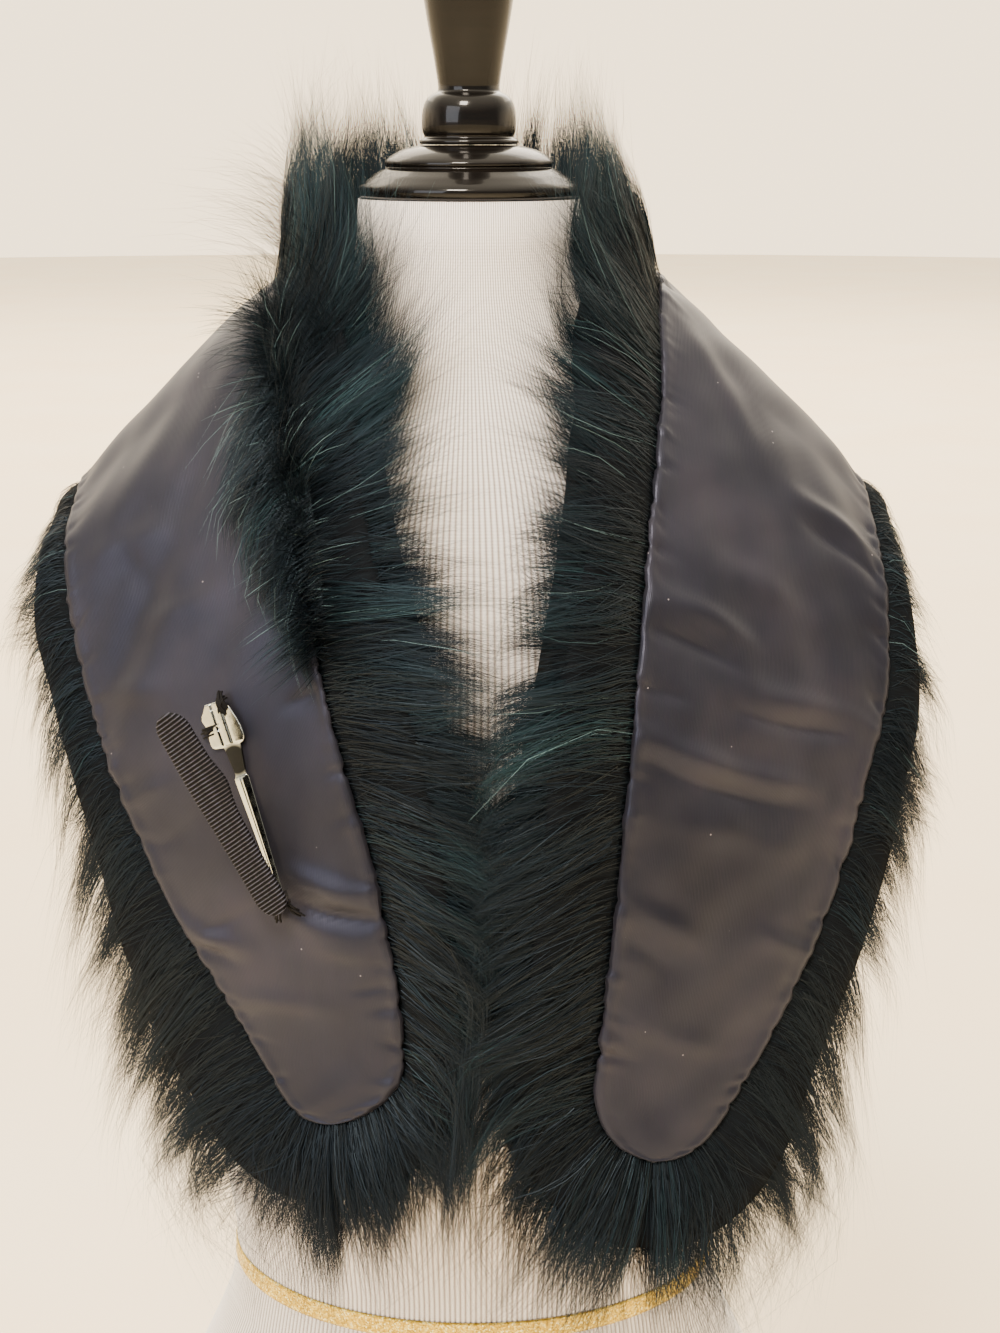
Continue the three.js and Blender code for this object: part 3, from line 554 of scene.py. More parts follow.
def grosgrainMaterial():
    # Grosgrain ribbon: thick ribs of matt rayon, with painted highlight where they stand up and
    # painted shade between them
    material, tree = startMaterial("charcoal rayon grosgrain")
    cloth = addNode(tree, "UVMap", uv_map="cloth")
    ribs = addNode(tree, "TexWave", {"Vector": cloth.outputs["UV"], "Scale": waveScale(1)},
                   bands_direction="X")
    # painted shade in the valleys and painted highlight on the crests of the ribs
    colour = rampOf(tree, ribs.outputs["Fac"], [
        (0.0, "#060607"), (0.55, "#100f11"), (0.85, "#29292f"), (1.0, "#464650")])
    # warp threads of 0.3 mm run along the ribbon
    threadMap = addNode(tree, "Mapping", {"Vector": cloth.outputs["UV"], "Scale": (3, 50, 1)})
    warp = addNode(tree, "TexNoise", {"Vector": threadMap.outputs[0], "Scale": 1.0, "Detail": 1.0})
    mixed = mixOf(tree, 0.25, colour, warp.outputs["Color"], "OVERLAY")
    bump = bumpOf(tree, warp.outputs["Fac"], 0.4, 0.0002)
    endMaterial(tree, {"Base Color": mixed, "Roughness": 0.62,
                       "Normal": bump, "Specular IOR Level": 0.08})
    return material


def nickelMaterial():
    # Bright nickel plate on stamped steel: mirror-like, with faint rolling lines and dull spots
    material, tree = startMaterial("bright nickel plate")
    place = objectPlace(tree)
    spots = addNode(tree, "TexNoise", {"Vector": place, "Scale": 260.0,
                                       "Detail": 3.0})
    rough = rangeOf(tree, spots.outputs["Fac"], (0.35, 0.75), (0.08, 0.26))
    colour = rampOf(tree, spots.outputs["Fac"], [
        (0.3, "#d9dbd2"), (0.7, "#c3c8bd")])
    bump = bumpOf(tree, spots.outputs["Fac"], 0.12, 0.0004)
    # the narrow neck below the head is painted dark, a painted reflection of dark surroundings, and
    # made hazier
    fromNeck = addNode(tree, "VectorMath", {0: place, 1: clip["neckAt"]},
                       operation="DISTANCE")
    neckShadeAndHaze = rangeOf(tree, fromNeck.outputs["Value"], (0.0055, 0.0075), (1.0, 0.0))
    neckShadeColour = mixOf(tree, neckShadeAndHaze, colour, srgb("#2f302f"))
    hazy = rangeOf(tree, neckShadeAndHaze, (0, 1), (0.0, 0.35))
    dulled = addNode(tree, "Math", {0: rough, 1: hazy}, operation="ADD")
    endMaterial(tree, {"Base Color": neckShadeColour, "Metallic": 1.0,
                       "Roughness": dulled.outputs[0], "Normal": bump})
    return material


def cottonMaterial():
    # Black sewing cotton, twisted
    material, tree = startMaterial("black sewing cotton")
    place = objectPlace(tree)
    twist = addNode(tree, "TexWave", {"Vector": place, "Scale": waveScale(0.0006)},
                    bands_direction="DIAGONAL")
    colour = rampOf(tree, twist.outputs["Fac"], [
        (0.0, "#040404"), (1.0, "#100f11")])
    endMaterial(tree, {"Base Color": colour, "Roughness": 0.7, "Specular IOR Level": 0.15})
    return material


furLook = dyedFurMaterial("dyed long-haired fur", 0.34)
underLook = underfurMaterial()
satinLook = satinMaterial()
jerseyLook = jerseyMaterial()
glitterLook = glitterMaterial()
lacquerLook = lacquerMaterial()
grosgrainLook = grosgrainMaterial()
cottonLook = cottonMaterial()
print("materials made")


torso = {"ribs": 310, "ribDeep": 0.5, "rows": 40, "baseRound": 3, "stitch": 1.3}


def makeTorso():
    neckTop = formRows[-1][0]
    heights = np.linspace(0, neckTop, torso["rows"])
    profile = [(0, 0), (0.5, 0), (1 - torso["baseRound"] / 168, 0)]
    profile += [(1, torso["baseRound"] * mm)] + [(1, z * mm) for z in heights[1:]]
    profile += [(0.5, neckTop * mm), (0, neckTop * mm)]
    steps = 2 * torso["ribs"]
    bm = spun(profile, steps)
    points = np.array([vert.co for vert in bm.verts])
    angle = np.arctan2(points[:, 1], points[:, 0]) % (2 * math.pi)
    radius = np.hypot(points[:, 0], points[:, 1])
    side, front, back = sizeAt(formRows, points[:, 2] / mm)
    raised = np.where(np.round(angle / (2 * math.pi) * steps) % 2 == 0, 0.5, -0.5)
    raised = raised * torso["ribDeep"]
    deep = np.where(np.sin(angle) < 0, front, back)
    for vert, r, turn, wide, far in zip(bm.verts, radius, angle, side + raised, deep + raised):
        vert.co.x = r * wide * mm * math.cos(turn)
        vert.co.y = r * far * mm * math.sin(turn)
    layer = bm.loops.layers.uv.new("knit")
    turnOf = angle / (2 * math.pi) * torso["ribs"]
    for face in bm.faces:
        turns = [turnOf[loop.vert.index] for loop in face.loops]
        wraps = max(turns) - min(turns) > torso["ribs"] / 2
        for loop, turned in zip(face.loops, turns):
            if wraps and turned < torso["ribs"] / 2:
                turned += torso["ribs"]
            loop[layer].uv = (turned + 0.5, loop.vert.co.z / mm / torso["stitch"])
    return meshFrom("torso_cover", bm)


setPiece("torso_cover", makeTorso(), jerseyLook, replaces=["form_torso"])
print("torso made")

waistBand = {"low": 230, "high": 240, "gap": 0.5, "thick": 0.8, "steps": 240, "weave": 0.12}


def makeWaistBand():
    # a flat ribbon with rolled edges, a little proud of the jersey
    low, high, thick = waistBand["low"], waistBand["high"], waistBand["thick"]

    def place(u, v):
        # v runs up the outer face, over the top and down the inner face
        turn = u * 2 * math.pi
        stops = [0, 0.04, 0.46, 0.5, 0.54, 0.96, 1]
        z = np.interp(v, stops, [low, low + 0.3, high - 0.3, high, high - 0.3, low + 0.3, low])
        out = np.interp(v, stops, [0.5, 1, 1, 0.5, 0, 0, 0.5]) * thick + waistBand["gap"]
        cell = np.sin(turn * 180) * np.sin(v * 90) * waistBand["weave"]
        out = out + np.where(v < 0.5, cell, 0)
        side, front, back = sizeAt(formRows, z)
        deep = np.where(np.sin(turn) < 0, front, back)
        return np.stack([(side + out) * np.cos(turn), (deep + out) * np.sin(turn), z], 1)

    return meshFrom("waist_band", shapedGrid(waistBand["steps"] * 2, 14, place))


setPiece("waist_band", makeWaistBand(), glitterLook, replaces=["waist_ribbon"])
print("waist band made")

# Turned pieces: (radius, height); a corner is a point given twice
capProfile = [(0, 744.1), (46.3, 744.1), (47.6, 744.5), (48.6, 745.7), (49, 747.3), (48.7, 748.8),
              (47.4, 750.2), (45.2, 751.8), (43, 753.4), (40.6, 754.8), (38.4, 756.1),
              (36.9, 756.8), (36.4, 757.4), (37, 758.1), (37.2, 758.8), (36.9, 759.8), (35.6, 761),
              (33.4, 762.5), (30.6, 763.9), (27.4, 765.1), (24.4, 765.8), (22, 766.3), (0, 766.4)]
finialProfile = [(0, 766.7), (20.9, 766.7), (21.5, 767.3), (21.6, 768.2), (20.8, 769),
                 (19.7, 769.6), (19.6, 770.3), (20.2, 771.6), (20.5, 774), (20.55, 777.5),
                 (20.3, 780.6), (19.6, 783.4), (18.4, 785.7), (16.8, 787.3), (15, 788.2),
                 (13.7, 788.9), (13.4, 790), (13.5, 792), (14.4, 798), (15.6, 805.5), (17, 813),
                 (18.3, 820.5), (19.4, 827.5), (20.3, 834.5), (21, 841), (21.2, 846),
                 (20.9, 850), (20, 855), (18.4, 859.4), (15.8, 864), (12.4, 867.6), (8.4, 870.2),
                 (4.2, 871.6), (0, 872)]


def turnedMesh(name, profile, steps):
    # each stretch between two points is halved along a smooth curve
    points = np.array(profile, float)
    run = np.concatenate([[0], np.cumsum(np.linalg.norm(np.diff(points, axis=0), axis=1))])
    fine = np.unique(np.concatenate([run, (run[2:-1] + run[1:-2]) / 2]))
    radius, height = smoothAt(run, points[:, 0], fine), smoothAt(run, points[:, 1], fine)
    radius[0] = radius[-1] = 0
    return meshFrom(name, spun(np.stack([radius, height], 1) * mm, steps))


setPiece("turned_cap", turnedMesh("turned_cap", capProfile, 128), lacquerLook,
         replaces=["neck_cap"])
setPiece("turned_finial", turnedMesh("turned_finial", finialProfile, 96), lacquerLook,
         replaces=["finial"])
print("cap and finial made")

lining = {
    "along": 310, "acrossSteps": 38, "thick": 1.1, "rimRound": 2.6, "rimLow": 0.35,
    "puckerPitch": 7, "puckerDeep": 2.1, "puckerWide": 2.0, "puckerLong": 8,
    "scallop": 0.8, "scallopWide": 5, "waveDeep": 0.42, "rowPitch": 42,
}
# Creases placed one by one: start row and place across, end row and place across, height (below
# zero is a trough), half width and how far each bends sideways
creases = {
    "left": [
        (10.78, 0.36, 11.3, 0.0, 3.0, 5, 2), (11.02, 0.44, 11.42, 0.04, -2.8, 3.2, 3),
        (11.25, 0.42, 11.62, 0.02, 1.8, 4.5, 3), (11.2, 0.95, 11.05, 0.6, -1.5, 3.5, 1),
        (11.55, 0.36, 11.75, 0.06, 1.8, 4, 1), (11.0, 1.0, 11.45, 0.72, 2.2, 5, 2),
        (11.3, 0.98, 11.62, 0.8, -1.5, 4, 0), (12.05, 0.96, 12.3, 0.39, 1.3, 6, -2),
        (6.53, 0.73, 7.62, 0.59, -1.8, 9, 2), (6.5, 0.87, 6.9, 0.47, 1.8, 9, -2),
        (7.78, 0.65, 7.93, 0.34, 1.4, 7, 2), (8.32, 0.94, 8.57, 0.64, 1.3, 6, -2),
        (9.15, 0.0, 9.15, 0.16, -1.6, 3.5, 0), (9.5, 0.97, 9.45, 0.76, 1.3, 4, 0),
        (12.08, 0.0, 12.1, 0.25, -1.4, 3.5, 0), (10.1, 0.95, 9.9, 0.7, -1.1, 5, 2),
        (0.7, 0.2, 1.9, 0.5, 1.6, 6, 2), (2.5, 0.96, 3.1, 0.4, -1.7, 5, 2),
        (1.5, 0.97, 1.7, 0.62, 1.3, 5, 1), (3.4, 0.1, 4.1, 0.45, 1.5, 6, -2),
    ],
    "right": [
        (6.03, 0.59, 5.8, 0.95, 2.6, 6, 2), (6.3, 0.62, 6.15, 0.97, -1.8, 5, 2),
        (8.63, 0.0, 8.57, 0.36, -2.8, 4, 2), (8.35, 0.0, 8.25, 0.4, 2.4, 5, 2),
        (8.98, 0.4, 8.7, 0.85, -2.6, 4.5, -2), (8.75, 0.42, 8.4, 0.85, 1.8, 6, -2),
        (9.53, 0.0, 9.43, 0.77, 3.0, 5.5, -3), (9.75, 0.1, 9.65, 0.7, -2.2, 4.5, -3),
        (11.05, 0.0, 11.25, 0.42, 2.4, 5, 1), (11.3, 0.0, 11.5, 0.3, -1.6, 4, 1),
        (11.03, 0.72, 11.15, 0.99, 2.2, 4, 0), (4.65, 0.13, 5.93, 0.41, 1.6, 9, 3),
        (7.72, 0.19, 7.47, 0.59, 1.3, 9, 2), (11.95, 0.03, 12.3, 0.71, 1.2, 7, -2),
        (10.28, 0.06, 10.1, 0.72, 1.2, 7, 2), (9.1, 0.0, 9.05, 0.2, -1.6, 3, 0),
        (1.1, 0.35, 2.4, 0.6, -1.7, 6, 2), (2.7, 0.1, 3.5, 0.5, 1.6, 6, -2),
        (0.6, 0.97, 0.9, 0.6, 1.4, 5, 1), (2.2, 0.98, 2.4, 0.7, 1.3, 4, 1),
    ],
}


def creaseHeight(marks, place, across, width):
    height = np.zeros_like(place)
    for row, start, endRow, endStart, deep, wide, bend in marks:
        x, y = (place - row) * lining["rowPitch"], (across - start) * width
        endX, endY = (endRow - row) * lining["rowPitch"], (endStart - start) * width
        long = np.maximum(np.hypot(endX, endY), 0.01)
        f = np.clip((x * endX + y * endY) / long**2, 0, 1)
        bow = bend * np.sin(math.pi * f)
        off = np.hypot(x - f * endX + bow * endY / long, y - f * endY - bow * endX / long) / wide
        fold = np.exp(-off * off) if deep > 0 else np.exp(-1.3 * off**1.25)
        height += deep * fold * np.sin(math.pi * (0.12 + 0.76 * f))
    return height


def crowded(v):
    # places across, closer together near both edges
    return 0.55 * v + 0.45 * (0.5 - 0.5 * np.cos(math.pi * v))


def makeLining(side, seed):
    wrap = wraps[side]
    rng = np.random.default_rng(seed)
    waves = [(rng.uniform(-1, 1, 2) * 2 * math.pi / rng.uniform(24, 70), rng.uniform(0, 6.28))
             for _ in range(9)]
    puckers = {}
    for edge in ("inner", "outer"):
        long = wrap[edge + "Run"][-1]
        count = int(long / lining["puckerPitch"])
        at = (np.arange(count) + rng.uniform(0.15, 0.85, count)) * lining["puckerPitch"]
        deep = rng.uniform(0.15, 1, count) ** 1.5 * np.where(rng.random(count) < 0.75, -1, 0.8)
        puckers[edge] = (at, deep * lining["puckerDeep"], rng.uniform(0.4, 1.5, count),
                         rng.uniform(-0.5, 0.5, count))

    def place(u, v):
        station = u * stationCount
        across = crowded(v)
        width = atStation(wrap["width"], station)
        row = atStation(wrap["place"], station)
        run = {edge: atStation(wrap[edge + "Run"], station) for edge in ("inner", "outer")}
        narrow = atStation(wrap["narrow"], station)
        middle = (run["inner"] + run["outer"]) / 2
        fromEdge = {"inner": across * width, "outer": (1 - across) * width}
        height = creaseHeight(creases[side], row, across, width) * narrow
        shift = np.zeros_like(across)
        x, y = middle, across * width
        for (kx, ky), phase in waves:
            height = height + lining["waveDeep"] * np.sin(kx * x + ky * y + phase) / 2
        for edge in ("inner", "outer"):
            at, deep, wide, lean = puckers[edge]
            off = (run[edge][:, None] + lean[None] * fromEdge[edge][:, None] - at[None])
            off = off / (lining["puckerWide"] * (0.6 + 0.4 * wide[None]))
            fade = np.exp(-(fromEdge[edge][:, None] / (lining["puckerLong"] * wide[None])) ** 2)
            gathered = (deep[None] * np.exp(-off**2) * fade).sum(1) * narrow
            height = height + gathered
            # the edge is drawn in where it is gathered
            near = np.exp(-(fromEdge[edge] / lining["scallopWide"]) ** 2)
            near = near * lining["scallop"] / np.maximum(width, 4)
            shift = shift + gathered * near * (-1 if edge == "inner" else 1)
        # the turned edge rolls down to the pelt
        edgeGap = np.minimum(fromEdge["inner"], fromEdge["outer"])
        f = np.clip(edgeGap / lining["rimRound"], 0, 1)
        rolled = np.sqrt(np.clip(1 - (1 - f) ** 2, 0, 1))
        top = liningThick + height * between(0, 4, edgeGap) + 0.5 * (
            between(0, 3, edgeGap) - between(3, 7, edgeGap))
        out = lining["rimLow"] + lining["thick"] * 0.5 + rolled * (
            top - lining["rimLow"] - lining["thick"] * 0.5)
        return surfaceAt(wrap, station, across + shift, out)

    def uvPlace(u, v):
        station = u * stationCount
        across = crowded(v)
        run = (atStation(wrap["innerRun"], station) + atStation(wrap["outerRun"], station)) / 2
        return across * atStation(wrap["width"], station) * mm, run * mm

    bm = shapedGrid(lining["along"], lining["acrossSteps"], place, uvPlace, merge=2e-5)
    name = f"satin_{side}"
    faceUp = Vector(wrap["normal"][150])
    nearest = min(bm.faces, key=lambda face: (
        face.calc_center_median() - Vector(surfaceAt(wrap, np.array([150.0]), np.array([0.5]),
                                                     np.array([0.0]))[0] * mm)).length)
    if nearest.normal.dot(faceUp) < 0:
        bmesh.ops.reverse_faces(bm, faces=bm.faces)
    piece = setPiece(name, meshFrom(name, bm), satinLook, replaces=[f"lining_{side}"])
    wall = piece.modifiers.new("wall", "SOLIDIFY")
    wall.thickness = lining["thick"] * mm
    wall.offset = -1
    wall.use_even_offset = False
    return piece


for side, seed in (("left", 11), ("right", 12)):
    piece = makeLining(side, seed)
print("lining made")

underfur = {"along": 150, "reach": 0.55, "top": 0.55, "low": 0.8, "gap": 1.2, "middle": -3.2}


def underfurSection():
    # one section as (edge, reach or place across, layer), going round from the neck edge's top
    far = underfur["reach"]
    section = [("inner", f * far, 1) for f in (1, 0.8, 0.55, 0.3, 0.1)]
    section += [("middle", f, 1) for f in (0.03, 0.25, 0.5, 0.75, 0.97)]
    section += [("outer", f * far, 1) for f in (0.1, 0.3, 0.55, 0.8, 1)]
    section += [("outer", f * far, -1) for f in (1, 0.8, 0.5, 0.2)]
    section += [("middle", f, -1) for f in (0.97, 0.65, 0.35, 0.03)]
    return section + [("inner", f * far, -1) for f in (0.2, 0.5, 0.8, 1)]


def makeUnderfur(side):
    wrap = wraps[side]
    section = underfurSection()
    count = len(section)

    def place(u, v):
        station = u * stationCount
        k = np.round(v * count).astype(int) % count
        points = np.zeros((len(u), 3))
        for i, (edge, reach, layer) in enumerate(section):
            at = station[k == i]
            if edge == "middle":
                deep = -atStation(wrap["pile"], at) * underfur["low"]
                height = np.full(len(at), underfur["middle"]) if layer > 0 else deep
                points[k == i] = surfaceAt(wrap, at, np.full(len(at), reach), height)
            else:
                share = underfur["top"] if layer > 0 else underfur["low"]
                height = pileHeight(wrap, edge, at, np.full(len(at), reach), layer) * share
                height = np.where(height > 0, height, np.minimum(height, -0.6))
                points[k == i] = furAt(wrap, edge, at, np.full(len(at), reach), height)
        return partFur(wrap["sign"], clearOfForm(points, underfur["gap"]), 0)

    bm = shapedGrid(underfur["along"], count, place, lambda u, v: (u, v), "strand", merge=5e-5)
    bmesh.ops.holes_fill(bm, edges=[edge for edge in bm.edges if edge.is_boundary], sides=0)
    bmesh.ops.recalc_face_normals(bm, faces=bm.faces)
    name = f"underfur_{side}"
    return setPiece(name, meshFrom(name, bm), underLook, replaces=[f"fur_{side}"])


def partFur(sign, points, give):
    # fur that crosses the parting on the chest is held back to a little past it
    (xHigh, zHigh), (xLow, zLow) = parting["high"], parting["low"]
    tall = np.array([xHigh - xLow, 0, zHigh - zLow], float)
    out = unit(np.array([tall[2], 0, -tall[0]])) * sign
    off = (points - (xLow, 0, zLow)) @ out
    past = np.maximum(-off - give, 0)
    onChest = (points[..., 1] < parting["front"]) & (points[..., 2] < parting["top"])
    past = np.where(onChest, past * parting["hold"], 0)
    return points + past[..., None] * out


def keepNear(paths):
    # hair that reaches far past the solids bends back
    for axis in range(3):
        for corner, sign in zip(cadBounds, (-1, 1)):
            past = sign * (paths[..., axis] - corner[axis] / mm) - hair["free"]
            past = np.maximum(past, 0)
            kept = hair["most"] * (1 - np.exp(-past / hair["most"]))
            paths[..., axis] -= sign * (past - kept)
    return paths


def ribbonMesh(name, paths, facing, wide, tone, along):
    # flat tapered hairs: paths is (hairs, knots, 3) in mm; two UV maps hold tone and place along
    paths = keepNear(paths)
    count = len(paths)
    tangent = unit(np.gradient(paths, axis=1))
    side = unit(np.cross(tangent, facing))
    taper = 1 - 0.72 * np.linspace(0, 1, knots)[None, :, None] ** 1.4
    half = side * taper * wide[:, None, None] / 2
    left, right = paths[:, :-1] - half[:, :-1], paths[:, :-1] + half[:, :-1]
    pairs = np.stack([left, right], 2).reshape(count, -1, 3)
    points = np.concatenate([pairs, paths[:, -1:]], 1)
    each = points.shape[1]
    quads = [(2 * k, 2 * k + 1, 2 * k + 3, 2 * k + 2) for k in range(knots - 2)]
    corners = np.array([i for quad in quads for i in quad] + [each - 3, each - 2, each - 1])
    sizes = np.array([4] * len(quads) + [3])
    loops = (corners[None] + np.arange(count)[:, None] * each).ravel()
    mesh = bpy.data.meshes.new(name)
    mesh.vertices.add(count * each)
    mesh.vertices.foreach_set("co", (points * mm).astype(np.float32).ravel())
    mesh.loops.add(len(loops))
    mesh.loops.foreach_set("vertex_index", loops.astype(np.int32))
    totals = np.tile(sizes, count)
    mesh.polygons.add(len(totals))
    mesh.polygons.foreach_set("loop_start", np.concatenate([[0], np.cumsum(totals)[:-1]]))
    mesh.polygons.foreach_set("loop_total", totals)
    knotAt = np.concatenate([np.repeat(np.arange(knots - 1), 2), [knots - 1]])
    uv = np.stack([np.repeat(tone, each), along[:, knotAt].ravel()], 1)[loops]
    for uvName in ("strand", "OFBake"):
        layer = mesh.uv_layers.new(name=uvName)
        layer.data.foreach_set("uv", uv.astype(np.float32).ravel())
    mesh.update(calc_edges=True)
    mesh.validate()
    return mesh


hair = {
    "segments": 4,
    "lockSweep": 5.5,       # how far locks lean along the edge, and how far they bow
    "lockCurl": 3.6,
    "pull": 0.86,           # how far hairs close up into the tip of their lock
    "rootSpread": 6.5,      # of a lock's roots along the edge
    "rootLayer": 0.17,      # and through the pile
    "wide": 0.31,
    "fineShare": 0.32,      # long fine hairs past the lock's tip
    "fineWide": 0.14,
    "guardShare": 0.022,    # pale guard hairs
    "guardWide": 0.2,
    "twist": 0.4,           # how unevenly the hairs face
    "paleTone": 0.95,
    "free": 5,              # how far past the solids' box it reaches before it bends back
    "most": 13,             # and how much further it can get
    "inner": {"locks": 520, "each": 48, "tone": 0.45, "toneSpread": 0.13},
    "outer": {"locks": 480, "each": 48, "tone": 0.36, "toneSpread": 0.11},
}
knots = hair["segments"] + 1


def lockLayers(rng, count):
    # most locks lie on top, some inside and some towards the form
    kind = rng.random(count)
    top, mid, low = rng.uniform(0.55, 1, count), rng.uniform(-0.6, 0.6, count), rng.uniform(
        -1, -0.7, count)
    return np.where(kind < 0.52, top, np.where(kind < 0.8, mid, low))


def lockTones(rng, settings, lock):
    # each lock has its own tone, and its hairs differ a little
    tone = rng.normal(settings["tone"], settings["toneSpread"], settings["locks"])[lock]
    return np.clip(tone + rng.normal(0, 0.04, len(lock)), 0.01, 0.9)


fallen = {
    "locks": 105, "each": 36, "from": 5.5, "to": 8.5, "far": (0.35, 1.15), "high": (0.2, 1),
    "sweep": 26, "hump": 0.33, "least": 2.5, "overSeam": 9, "clear": 2.6, "wide": 0.29,
    "strayShare": 0.12, "strayWide": 0.17, "tone": 0.36, "toneSpread": 0.09,
}


def fallenHair(wrap, seed):
    # on the left front, fur of the neck edge falls back over the lining
    rng = np.random.default_rng(seed)
    locks, each = fallen["locks"], fallen["each"]
    lockRow = rng.uniform(fallen["from"], fallen["to"], locks)
    lockFar = rng.uniform(*fallen["far"], locks)
    lockHigh = rng.uniform(*fallen["high"], locks)
    lock = np.repeat(np.arange(locks), each)
    count = len(lock)
    row = lockRow[lock] + rng.normal(0, 0.14, count)
    stray = rng.random(count) < fallen["strayShare"]
    far = lockFar[lock] * rng.uniform(0.75, 1.1, count) * np.where(stray, 1.35, 1)
    high = np.clip(lockHigh[lock] + rng.normal(0, 0.15, count), 0.05, 1.15)
    sweep = fallen["sweep"] * rng.uniform(0.7, 1.3, locks)[lock] + rng.normal(0, 3, count)
    drift = rng.normal(0, 1, (count, 3)) * np.where(stray, 2.5, 1.2)[:, None]
    paths = np.zeros((count, knots, 3))
    along = np.zeros((count, knots))
    pitch = wrap["innerRun"][200] - wrap["innerRun"][199]
    for k in range(knots):
        t = k / (knots - 1)
        pulled = row + (lockRow[lock] - row) * 0.7 * t
        station = stationOfRow(wrap, pulled)
        station = station + (sweep * t**1.5 - 6) / pitch
        flop = np.maximum(atStation(wrap["flop"], station), fallen["least"])
        width = atStation(wrap["width"], station)
        across = -fallen["overSeam"] * (1 - t) ** 2 + (flop * far + 2) * t**0.9
        bulge = np.sin(math.pi * np.clip(t * 0.94, 0, 1)) ** 0.8
        top = fallen["clear"] + flop * fallen["hump"] * high * bulge + 4 * (1 - t) * high
        paths[:, k] = surfaceAt(wrap, station, across / width, top) + np.minimum(
            drift * t, np.array([9, 0.3, 9]))
        along[:, k] = 0.12 + 0.84 * t
    tone = lockTones(rng, fallen, lock)
    tone = np.where(stray & (rng.random(count) < 0.25), hair["paleTone"], tone)
    wide = np.where(stray, fallen["strayWide"], fallen["wide"] * rng.uniform(0.7, 1.25, count))
    facing = atStation(wrap["normal"], station) + rng.normal(0, hair["twist"], (count, 3))
    return paths, facing, wide, tone, along


crest = {
    "locks": 150, "each": 32, "from": 4.9, "to": 8.7, "long": (18, 36), "turn": (30, 150),
    "bow": 1.1, "clear": 2.9, "wide": 0.27, "paleShare": 0.02, "tone": 0.38, "toneSpread": 0.1,
}


def crestHair(wrap, seed):
    # fluffed fur along the left seam: it stands up and falls to either side
    rng = np.random.default_rng(seed)
    locks, each = crest["locks"], crest["each"]
    lockRow = rng.uniform(crest["from"], crest["to"], locks)
    lockTurn = rng.uniform(*crest["turn"], locks)
    lock = np.repeat(np.arange(locks), each)
    count = len(lock)
    row = lockRow[lock] + rng.normal(0, 0.12, count)
    station = stationOfRow(wrap, row)
    turn = lockTurn[lock] + rng.normal(0, 7, count)
    long = rng.uniform(*crest["long"], locks)[lock] * rng.uniform(0.7, 1.2, count)
    side, normal = atStation(wrap["innerSide"], station), atStation(wrap["normal"], station)
    downWrap = unit(atStation(np.gradient(wrap["inner"], axis=0), station))
    # towards the neck the hair rises, over the lining it hangs
    leans = np.cos(np.radians(turn))
    sweep = np.where(leans > 0, atStation(wrap["inSweep"], station) / 45, 0.55 - 0.9 * between(
        6.5, 4, row))
    point = (atStation(wrap["inner"], station) + side * rng.uniform(-4, 7, count)[:, None]
             + normal * rng.uniform(2.6, 6, count)[:, None])
    drift = rng.normal(0, 1.3, (count, 3))
    paths = np.zeros((count, knots, 3))
    along = np.zeros((count, knots))
    for k in range(knots):
        t = k / (knots - 1)
        paths[:, k] = point + drift * t**1.5
        along[:, k] = 0.15 + 0.8 * t
        angle = np.radians(turn + (turn - 90) * crest["bow"] * t)
        step = unit(side * np.cos(angle)[:, None] + normal * np.sin(angle)[:, None]
                    + downWrap * sweep[:, None])
        point = point + step * (long / (knots - 1))[:, None]
    # hair over the lining stays above it
    off = paths - atStation(wrap["inner"], station)[:, None]
    out = (off * normal[:, None]).sum(2)
    across = -(off * side[:, None]).sum(2)
    floor = np.where(across > -3, crest["clear"] + 0.012 * across, -2)
    paths += np.maximum(floor - out, 0)[..., None] * normal[:, None]
    tone = lockTones(rng, crest, lock)
    tone = np.where(rng.random(count) < crest["paleShare"], hair["paleTone"], tone)
    wide = crest["wide"] * rng.uniform(0.6, 1.25, count)
    return paths, normal + side * leans[:, None] + rng.normal(0, 0.4, (count, 3)), wide, tone, along


wisps = {"count": 1200, "from": 2.6, "to": 6.0, "long": (26, 70), "lean": (36, 112),
         "inFrom": (2, 26), "bend": 5, "drift": (-4, 0, -3), "wide": 0.14, "tone": (0.3, 0.1)}


def wispHair(wrap, seed):
    # long loose hairs that stand out past the left of the neck
    rng = np.random.default_rng(seed)
    count = wisps["count"]
    row = rng.uniform(wisps["from"], wisps["to"], count)
    station = stationOfRow(wrap, row)
    lean = np.radians(rng.uniform(*wisps["lean"], count))
    long = rng.uniform(*wisps["long"], count)
    side = atStation(wrap["innerSide"], station)
    normal = atStation(wrap["normal"], station)
    bend = rng.normal(0, wisps["bend"], (count, 3)) + wisps["drift"]
    paths = np.zeros((count, knots, 3))
    along = np.zeros((count, knots))
    start = atStation(wrap["inner"], station) + side * rng.uniform(*wisps["inFrom"], count)[:, None]
    for k in range(knots):
        t = k / (knots - 1)
        turn = lean * (0.55 + 0.45 * t)
        paths[:, k] = start + t * long[:, None] * (
            side * np.cos(turn)[:, None] + normal * np.sin(turn)[:, None]) + bend * t**2
        along[:, k] = 0.15 + 0.83 * t
    tone = np.clip(rng.normal(*wisps["tone"], count), 0.02, 0.9)
    facing = normal + rng.normal(0, 0.6, (count, 3))
    return paths, facing, np.full(count, wisps["wide"]), tone, along


